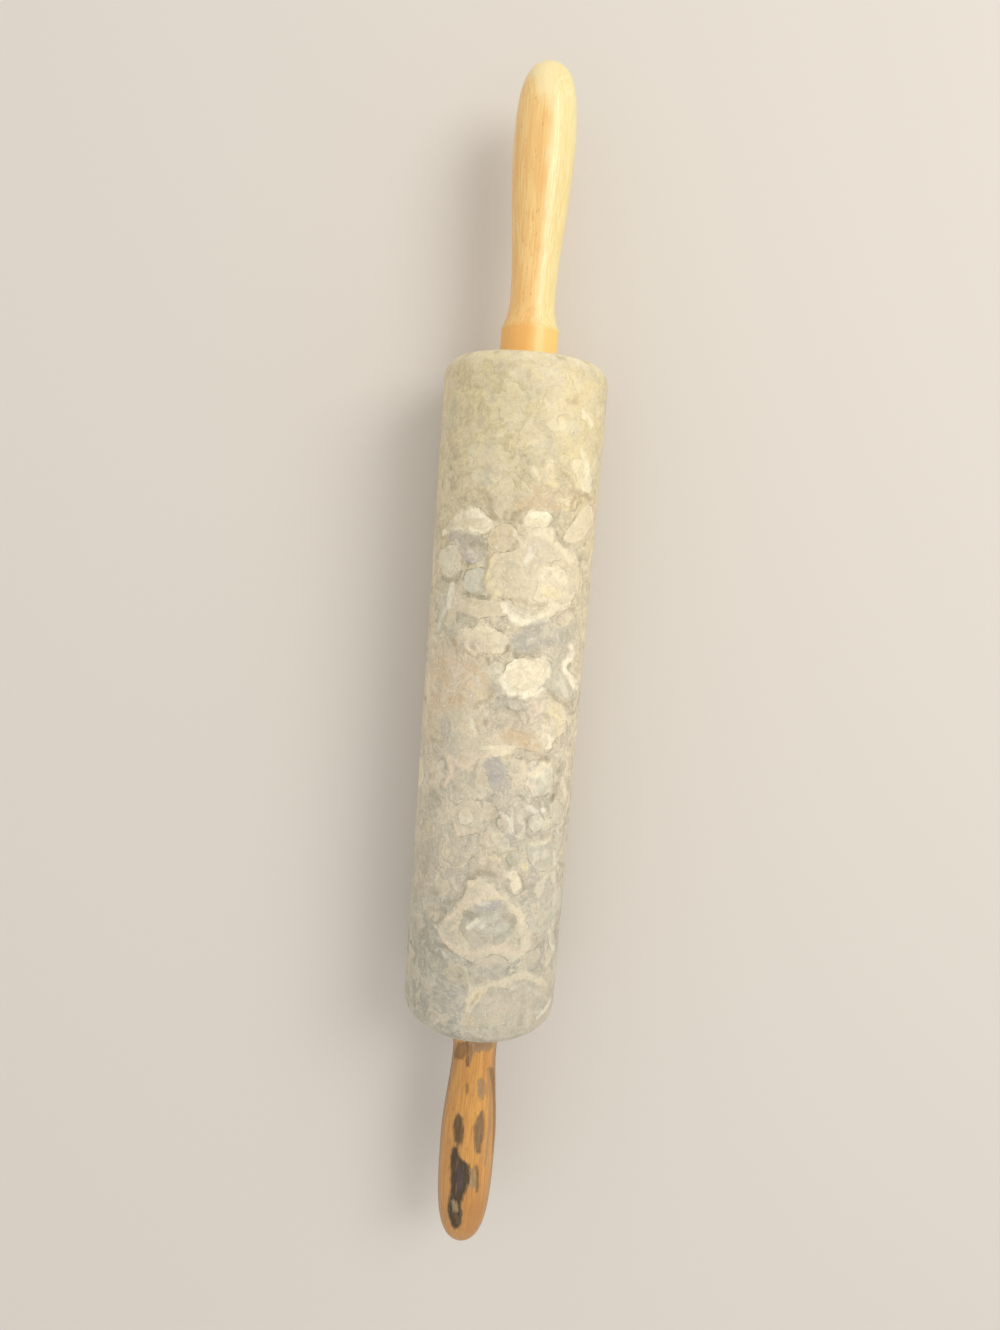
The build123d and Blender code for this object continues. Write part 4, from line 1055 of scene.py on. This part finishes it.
# The drawn layers: how far the edges of each waver, in millimetres, and how much their margins are drawn in
waver = sums(tree, "SUBTRACT", cloud(tree, place, 0.4, 3.0, 0.5).outputs[0], 0.5)
breaks = parted(tree, cloud(tree, place, 0.22))
for number, (wander, drawn_in) in enumerate(((2.4, 1.0), (1.8, 1.0), (1.2, 1.0), (0.9, 0.6), (0.9, 0.6))):
    look, margin = drawn_layer(tree, number, ground, stone["dark"])
    look["Margin"] = times(tree, sums(tree, "MULTIPLY_ADD", waver, wander, margin), drawn_in)
    look["Patches"] = middling
    look["Breaks"] = breaks[number % 3]
    ground = add(tree, "Group", look, node_tree=rimmed).outputs[0]

# Tints, grains, flecks, fine dark veins, dirt in the marks, and a last drift along the pin: greyer towards
# the amber handle, partly painted shade, and warmer towards the honey one, partly painted sunlight
grain = parted(tree, add(tree, "TexVoronoi", {"Vector": place, "Scale": 1.0}))[0]
ground = over(tree, ramp(tree, drifts[0], 0.52, 0.66, 0.0, 0.35), ground, stone["rose"])
ground = over(tree, ramp(tree, drifts[0], 0.46, 0.34, 0.0, 0.35), ground, stone["moss"])
mottle = times(tree, ramp(tree, fine, 0.28, 0.72, 0.94, 1.05), ramp(tree, grain, 0.0, 1.0, 0.975, 1.025))
flecked = over(tree, ramp(tree, speck, 0.6, 0.7, 0.0, 0.45), scaled(tree, ground, mottle), stone["chalk"])
flecked = over(tree, ramp(tree, speck, 0.4, 0.3, 0.0, 0.3), flecked, stone["dark"])
thread = sums(tree, "ABSOLUTE", sums(tree, "SUBTRACT", cloud(tree, bent_place, 0.07, 4.0).outputs[0], 0.5))
thread = times(tree, ramp(tree, thread, 0.012, 0.0, 0.0, 0.22), ramp(tree, drifts[2], 0.5, 0.4))
veined = over(tree, thread, flecked, stone["dark"])
sunk = add(tree, "Attribute", attribute_name="sunk").outputs["Fac"]
soiled = over(tree, times(tree, sunk, 0.45), veined, stone["dark"])
greyed_and_shaded = over(tree, ramp(tree, along, -20.0, -110.0, 0.0, 0.18), soiled, paint(160, 160, 148))
warmed_and_sunlit = over(tree, ramp(tree, along, 45.0, 100.0, 0.0, 0.2), greyed_and_shaded, paint(217, 199, 149))
gloss = sums(tree, "MULTIPLY_ADD", sunk, 0.3, ramp(tree, fine, 0.3, 0.7, 0.36, 0.5))
dress(tree, shader, warmed_and_sunlit, gloss, sums(tree, "MULTIPLY_ADD", speck, 0.6, fine), 0.2, 0.0002)

# Bushes, rod, washers and inserts
# Moulded nylon bushes carry the barrel on a bright steel rod, and brass inserts in the handles take its ends.
# Their solids have the right form, so they keep it and only get their finishes.
tool_marks, taken, given = effect("tool marks", {"Place": "Vector", "Pace": "Float"}, {"Mark": "Float"})
parts = add(tool_marks, "SeparateXYZ", {0: taken["Place"]}).outputs
rise = sums(tool_marks, "SUBTRACT", parts[2], axis_height)
across = sums(tool_marks, "MULTIPLY_ADD", parts[1], parts[1], times(tool_marks, rise, rise))
across = sums(tool_marks, "SQRT", across)
ringed = add(tool_marks, "CombineXYZ", {0: parts[0], 1: across}).outputs[0]
marks = add(tool_marks, "TexNoise", {"Vector": ringed, "Scale": taken["Pace"], "Detail": 3.0}).outputs[0]
tool_marks.links.new(marks, given["Mark"])


def turned_metal(name, pace, patches, clean, tarnished, smoothest, roughest):
    """A bright metal with tool marks and dull patches. Their pace and patches are in features per metre."""
    metal, tree, shader = finish_named(name)
    place = add(tree, "TexCoord").outputs["Object"]
    mark = add(tree, "Group", {"Place": place, "Pace": pace}, node_tree=tool_marks).outputs[0]
    dull = ramp(tree, cloud(tree, place, patches, 4.0).outputs[0], 0.45, 0.7)
    roughness = ramp(tree, mark, 0.3, 0.7, smoothest, roughest)
    dress(tree, shader, over(tree, dull, clean, tarnished), roughness, mark, 0.3, 0.00003)
    shader.inputs["Metallic"].default_value = 1.0
    return metal


nylon, tree, shader = finish_named("moulded nylon")
place = add(tree, "TexCoord").outputs["Object"]
soil = ramp(tree, cloud(tree, place, 260.0, 4.0).outputs[0], 0.4, 0.7)
soiled = over(tree, soil, paint(231, 226, 212), paint(214, 204, 182))
grit = cloud(tree, place, 2500.0, 2.0).outputs[0]
dress(tree, shader, soiled, ramp(tree, soil, 0.0, 1.0, 0.38, 0.55), grit, 0.2, 0.00005)
steel = turned_metal("bright steel", 2500.0, 300.0, paint(205, 205, 208), paint(160, 158, 155), 0.22, 0.42)
brass = turned_metal("turned brass", 1800.0, 250.0, paint(224, 186, 104), paint(176, 134, 66), 0.25, 0.45)

finishes = {
    "right_bush": nylon, "left_bush": nylon, "axle_rod": steel, "right_washer": steel, "left_washer": steel,
    "right_insert": brass, "left_insert": brass,
}
for node_name, material in finishes.items():
    for material_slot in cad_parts[node_name].material_slots:
        material_slot.material = material

# Right handle
# A hardwood handle turned between centres, with a plain collar, a cove down to the neck, a swelling grip and
# a round nose. It is varnished in a light honey colour, and screws on to the rod by the insert in its socket.
low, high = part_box("right_handle")
handle_base = low.x
handle_length = high.x - low.x
handle_facets = 144
handle_pace = 0.0007
collar_radius = 0.0105
collar_base_rounding = 0.0007
collar_arris_rounding = 0.0004
washer_recess_radius = 0.0083
washer_recess_depth = 0.0014
socket_radius = 0.00505
socket_depth = 0.018
pilot_radius = 0.0034
pilot_depth = 0.026
drill_point = radians(118)
cove_steps = 16
curve_points = 90
right_collar_length = 0.0102
right_neck = Vector((0.021, 0.00815))
right_grip = Vector((0.073, 0.011))
right_swell_share = 0.35
right_nose_shares = (0.72, 0.77)
grain_strength = 0.12
grain_depth = 0.0001
coat_weight = 0.3
coat_roughness = 0.22


def turned_handle(side, collar_length, neck, grip, swell_share, nose_shares):
    """The handle's form, with its collar towards the barrel. The side is 1 at the right and -1 at the left.
    The neck and the grip are each a place along the handle from its base and a radius."""
    rise = collar_radius - neck.y
    run = neck.x - collar_length
    cove_radius = (run * run + rise * rise) / (2 * rise)
    turns = [asin(run / cove_radius) * step / cove_steps for step in range(cove_steps - 1, 0, -1)]
    cove = [(neck.x - cove_radius * sin(turn), neck.y + cove_radius * (1 - cos(turn))) for turn in turns]
    tip = Vector((handle_length, 0))
    reach = Vector(((grip.x - neck.x) * swell_share, 0))
    nose = Vector((grip.x + (handle_length - grip.x) * nose_shares[0], grip.y))
    brow = Vector((handle_length, grip.y * nose_shares[1]))
    swell = interpolate_bezier(neck, neck + reach, grip - reach, grip, curve_points)
    dome = interpolate_bezier(grip, nose, brow, tip, curve_points)
    outline = [
        (washer_recess_depth + pilot_depth + pilot_radius / tan(drill_point / 2), 0, 0),
        (washer_recess_depth + pilot_depth, pilot_radius, 0),
        (washer_recess_depth + socket_depth, pilot_radius, 0),
        (washer_recess_depth + socket_depth, socket_radius, 0),
        (washer_recess_depth, socket_radius, 0),
        (washer_recess_depth, washer_recess_radius, 0),
        (0, washer_recess_radius, 0),
        (0, collar_radius, collar_base_rounding),
        (collar_length, collar_radius, collar_arris_rounding),
    ]
    outline += [(place, radius, 0) for place, radius in cove]
    outline += [(point[0], point[1], 0) for point in swell + dome[1:]]
    outline = [(side * (handle_base + place), radius, rounding) for place, radius, rounding in outline]
    return turned(outline, handle_facets, handle_pace, washer_recess_radius)


def grain_along(tree, place, along, across, detail):
    """Noise drawn out along the handle. Its scales along and across are in features per millimetre."""
    drawn_out = add(tree, "Mapping", {"Vector": place, "Scale": (along, across, across)}).outputs[0]
    return cloud(tree, drawn_out, 1.0, detail).outputs[0]


turned_wood, taken, given = effect(
    "turned wood",
    {"Place": "Vector", "Pale": "Color", "Deep": "Color", "Fleck": "Color"},
    {"Colour": "Color", "Height": "Float"},
)
place = scaled(turned_wood, taken["Place"], 1000.0)
streaks = grain_along(turned_wood, place, 0.012, 1.2, 4.0)
blotches = grain_along(turned_wood, place, 0.03, 0.13, 2.0)
fibres = grain_along(turned_wood, place, 0.08, 2.2, 3.0)
fleck = ramp(turned_wood, grain_along(turned_wood, place, 0.4, 1.7, 1.0), 0.66, 0.74)
colour = over(turned_wood, ramp(turned_wood, streaks, 0.38, 0.66, 0.0, 0.65), taken["Pale"], taken["Deep"])
colour = over(turned_wood, ramp(turned_wood, blotches, 0.42, 0.68, 0.0, 0.6), colour, taken["Deep"])
colour = over(turned_wood, ramp(turned_wood, fibres, 0.45, 0.7, 0.0, 0.45), colour, taken["Deep"])
colour = over(turned_wood, times(turned_wood, fleck, 0.45), colour, taken["Fleck"])
turned_wood.links.new(colour, given["Colour"])
turned_wood.links.new(sums(turned_wood, "SUBTRACT", fibres, fleck), given["Height"])


def wood_in(tree, pale, deep, fleck):
    """The turned wood in a varnish's own tones, and the place where it is read, whole and in three parts."""
    place = add(tree, "TexCoord").outputs["Object"]
    tones = {"Place": place, "Pale": pale, "Deep": deep, "Fleck": fleck}
    wood = add(tree, "Group", tones, node_tree=turned_wood).outputs
    return wood, place, add(tree, "SeparateXYZ", {0: place}).outputs


# The collar is deeper in colour and the tip paler, and the side towards the lamp is painted sunlight, paler
# and lemon, with a wavering edge
honey, tree, shader = finish_named("honey varnish")
wood, place, parts = wood_in(tree, paint(248, 212, 138), paint(232, 174, 96), paint(176, 136, 84))
collar = ramp(tree, parts[0], 0.1395, 0.1372)
wavering = cloud(tree, place, 60.0, 2.0).outputs[0]
across = sums(tree, "MULTIPLY_ADD", wavering, 0.006, parts[1])
along = sums(tree, "MULTIPLY_ADD", wavering, 0.02, parts[0])
along = sums(tree, "MULTIPLY_ADD", parts[1], -1.2, along)
stained = over(tree, times(tree, collar, 0.8), wood["Colour"], paint(242, 180, 92))
stained = over(tree, ramp(tree, along, 0.218, 0.2275, 0.0, 0.65), stained, paint(246, 236, 184))
# Painted sunlight: the side towards the lamp, paler and more lemon, with its collar
painted_sunlit_side = over(tree, ramp(tree, wood["Height"], 0.3, 0.6), paint(240, 232, 174), paint(231, 211, 143))
painted_sunlit_side = over(tree, collar, painted_sunlit_side, paint(241, 206, 118))
colour = over(tree, ramp(tree, across, 0.0038, -0.0012, 0.0, 0.8), stained, painted_sunlit_side)
gloss = ramp(tree, wood["Height"], 0.2, 0.8, 0.36, 0.46)
dress(tree, shader, colour, gloss, wood["Height"], grain_strength, grain_depth)
shader.inputs["Coat Weight"].default_value = coat_weight
shader.inputs["Coat Roughness"].default_value = coat_roughness
right_turning = turned_handle(
    1, right_collar_length, right_neck, right_grip, right_swell_share, right_nose_shares,
)
piece_from(right_turning, "honey_handle", honey, "handles", "right_handle")

# Left handle
# Another turning, shorter in the collar and stouter, in an amber varnish that is darker partly as painted
# shade.
# Long use has worn it through in patches on top and round its collar, and the bare wood there lies lower,
# grey, brown and nearly black. Some dark patches among them are painted shade, and lie lower too.
left_collar_length = 0.007
left_neck = Vector((0.0155, 0.0088))
left_grip = Vector((0.054, 0.0113))
left_swell_share = 0.3
left_nose_shares = (0.65, 0.95)
worn_radius = 0.011
patch_depth = 0.00018
least_skin_radius = 0.0085
bare_wood_and_shade = {
    "tar": paint(54, 42, 34),
    "plum": paint(78, 62, 62),
    "moss": paint(72, 60, 30),
    "olive": paint(124, 98, 54),
    "umber": paint(106, 80, 48),
    "dull": paint(166, 134, 98),
    "ash": paint(144, 114, 86),
    "bone": paint(154, 134, 98),
}
# Worn patches and the spots in them, and patches of painted shade: body, edge, cover, edge width, dark line,
# half width of a stroke or 0 for an outline, and corners as places along the pin and round the handle from
# its top, in millimetres at the worn radius
worn_and_shaded_patches = [[
    # Painted shadow of the barrel over the collar, on the side away from the lamp
    ("umber", "umber", 0.6, 1, 0, 0, [(-139.3, 10.5), (-135.1, 3.6), (-142.6, 3.8), (-145.2, 7.9),
     (-146.8, 13.5)]),
    # Painted shade, a soft dark band low on the flank towards the lamp
    ("umber", "umber", 0.5, 1, 0, 0, [(-147.1, -6.4), (-152.3, -10.6), (-164.2, -12.6), (-177.6, -12.6),
     (-187, -12.8), (-187.4, -13.3), (-169.5, -14.2), (-149.7, -14)]),
    ("dull", "dull", 0.75, 0.6, 0, 0.6, [(-148.4, -8.3), (-156.2, -9.4), (-165.2, -10.2), (-173.8, -9.7),
     (-182.5, -8.9), (-189.3, -8.5)]),
    ("ash", "dull", 0.9, 1.2, 0.3, 0, [(-135, 3.2), (-134.1, 0.5), (-134.5, -3.4), (-135.4, -7.8),
     (-139.7, -11.2), (-139.6, -6.7), (-139.9, -1.5), (-139.7, 2.3), (-138.2, 4.3)]),
    ("ash", "ash", 0.9, 0.8, 0.3, 0, [(-136.6, 3.7), (-136, 1), (-140.5, 0.8), (-145.5, 2), (-143.6, 3.8)]),
    ("ash", "dull", 0.8, 1, 0.4, 0, [(-153, -2.6), (-151.4, -3.9), (-153.1, -6), (-156.8, -7.1),
     (-159.2, -6.3), (-160.6, -5.1), (-158.7, -3.4)]),
    ("ash", "umber", 0.9, 1, 0.3, 0, [(-166.4, -4.1), (-165, -5.4), (-167.8, -6.4), (-174.8, -6.6),
     (-179.9, -5.9), (-183.8, -5), (-181.2, -3.2), (-174.9, -2.5), (-169.7, -2.6)]),
    # A dark line at the edge of the painted shadow on the collar, partly bare wood, partly painted shadow
    ("tar", "umber", 0.75, 0.6, 0, 0.8, [(-135.5, 3.4), (-141, 3.5), (-146.1, 3)]),
    ("olive", "olive", 0.6, 0.6, 0, 0, [(-154.4, 3.4), (-153.7, 2), (-157.4, 1.2), (-158.1, 2.5)]),
    ("moss", "umber", 0.95, 1.2, 0.6, 0, [(-167, 5.5), (-167.7, 3.6), (-170.9, 2.4), (-175.6, 2),
     (-178.4, 2.5), (-180.5, 3.9), (-178.6, 4.9), (-175.6, 6.1), (-171.8, 6.6), (-168.6, 6.2)]),
    ("moss", "umber", 0.8, 0.8, 0.5, 0.5, [(-179.2, 4), (-182, 4.2)]),
    ("tar", "moss", 0.97, 1.3, 0.8, 0, [(-181.2, 5.5), (-181, 3.9), (-183.6, 3.4), (-185.9, 1.7),
     (-187, -0.6), (-188.4, -1.4), (-192.1, -1.8), (-195.8, -1.7), (-198.6, -0.7), (-201.5, 0.2),
     (-204.5, 0.7), (-207.5, 1.2), (-210.3, 0.3), (-213.9, 0.1), (-217.3, 1.1), (-218.4, 3.2),
     (-215.8, 5.1), (-212.2, 6.1), (-207.4, 6.5), (-203.6, 5.7), (-200.6, 5.3), (-193.9, 6.1),
     (-187.1, 6.5)]),
    ("ash", "bone", 0.9, 0.9, 0.4, 0, [(-189.8, -2), (-189.4, -3.1), (-192.4, -4.2), (-196.2, -4.5),
     (-198.8, -3.5), (-196.8, -2.5)]),
    ("umber", "umber", 0.8, 0.6, 0, 0.45, [(-189.1, -4.2), (-194.5, -5.2), (-200.2, -5.4)]),
], [
    ("plum", "plum", 0.85, 1, 0, 0, [(-187.3, 3.5), (-189.1, 1.9), (-192.2, 0.5), (-196.4, 0.6),
     (-200.3, 1.5), (-199.6, 2.8), (-193.8, 3.5)]),
    ("bone", "bone", 0.9, 0.8, 0.3, 0, [(-205.7, 5.1), (-204.7, 3.7), (-206.2, 2.3), (-208.5, 1.5),
     (-210.2, 2.2), (-209.6, 3.7)]),
    ("umber", "umber", 0.7, 0.6, 0, 0.9, [(-212.2, 2.4), (-214.7, 1.7)]),
]]

# The varnish is set darker partly as painted shade, and deeper in colour towards the tip. Painted shade
# darkens its sides and underside
amber, tree, shader = finish_named("worn amber varnish")
wood, place, parts = wood_in(tree, paint(218, 159, 75), paint(182, 122, 52), paint(116, 80, 42))
low_down = sums(tree, "SUBTRACT", parts[2], axis_height)
deepened = over(tree, ramp(tree, parts[0], -0.185, -0.215, 0.0, 0.5), wood["Colour"], paint(172, 114, 46))
skinned = over(tree, ramp(tree, low_down, 0.0068, 0.0005, 0.0, 0.8), deepened, paint(122, 86, 46))

# The worn patches and the painted shade have edges that waver with the grain, and their bare wood and the
# painted shade have no coat left and little gloss
grain_place = scaled(tree, place, 1000.0)
ragged = sums(tree, "SUBTRACT", grain_along(tree, grain_place, 0.3, 1.2, 2.0), 0.5)
patchy = grain_along(tree, grain_place, 0.12, 0.9, 3.0)
worn_and_shaded = 0.0
for number in range(len(worn_and_shaded_patches)):
    look, margin = drawn_layer(tree, number, skinned, bare_wood_and_shade["umber"])
    look["Margin"] = times(tree, sums(tree, "MULTIPLY_ADD", ragged, 2.4, margin), 0.75)
    look["Patches"] = times(tree, patchy, 0.8)
    look["Breaks"] = patchy
    skinned = add(tree, "Group", look, node_tree=rimmed).outputs[0]
    worn_and_shaded = sums(tree, "MAXIMUM", times(tree, ramp(tree, look["Margin"], 0.4, -0.4), look["Cover"]), worn_and_shaded)
gloss = sums(tree, "MULTIPLY_ADD", worn_and_shaded, 0.3, ramp(tree, wood["Height"], 0.2, 0.8, 0.36, 0.46))
dress(tree, shader, skinned, gloss, wood["Height"], grain_strength, grain_depth)
tree.links.new(ramp(tree, worn_and_shaded, 0.0, 1.0, coat_weight, 0.02), shader.inputs["Coat Weight"])
shader.inputs["Coat Roughness"].default_value = coat_roughness

left_turning = turned_handle(
    -1, left_collar_length, left_neck, left_grip, left_swell_share, left_nose_shares,
)
worn = piece_from(left_turning, "amber_handle", amber, "handles", "left_handle").data
points = points_of(worn)
places = unrolled(points, worn_radius, 1.0, 0.0)
edge_distance = np.full(len(points), far_off)
for number, patches in enumerate(worn_and_shaded_patches):
    layer = [(*patch[:5], patch[6], patch[5]) for patch in patches]
    distance = paint_layer(worn, number, layer, places, worn_radius, bare_wood_and_shade)
    edge_distance = np.minimum(edge_distance, distance)
outside = points[:, 1] ** 2 + (points[:, 2] - axis_height) ** 2 > least_skin_radius ** 2
sink(worn, points, np.where(outside, np.clip(0.5 - edge_distance, 0, 1) * patch_depth, 0))
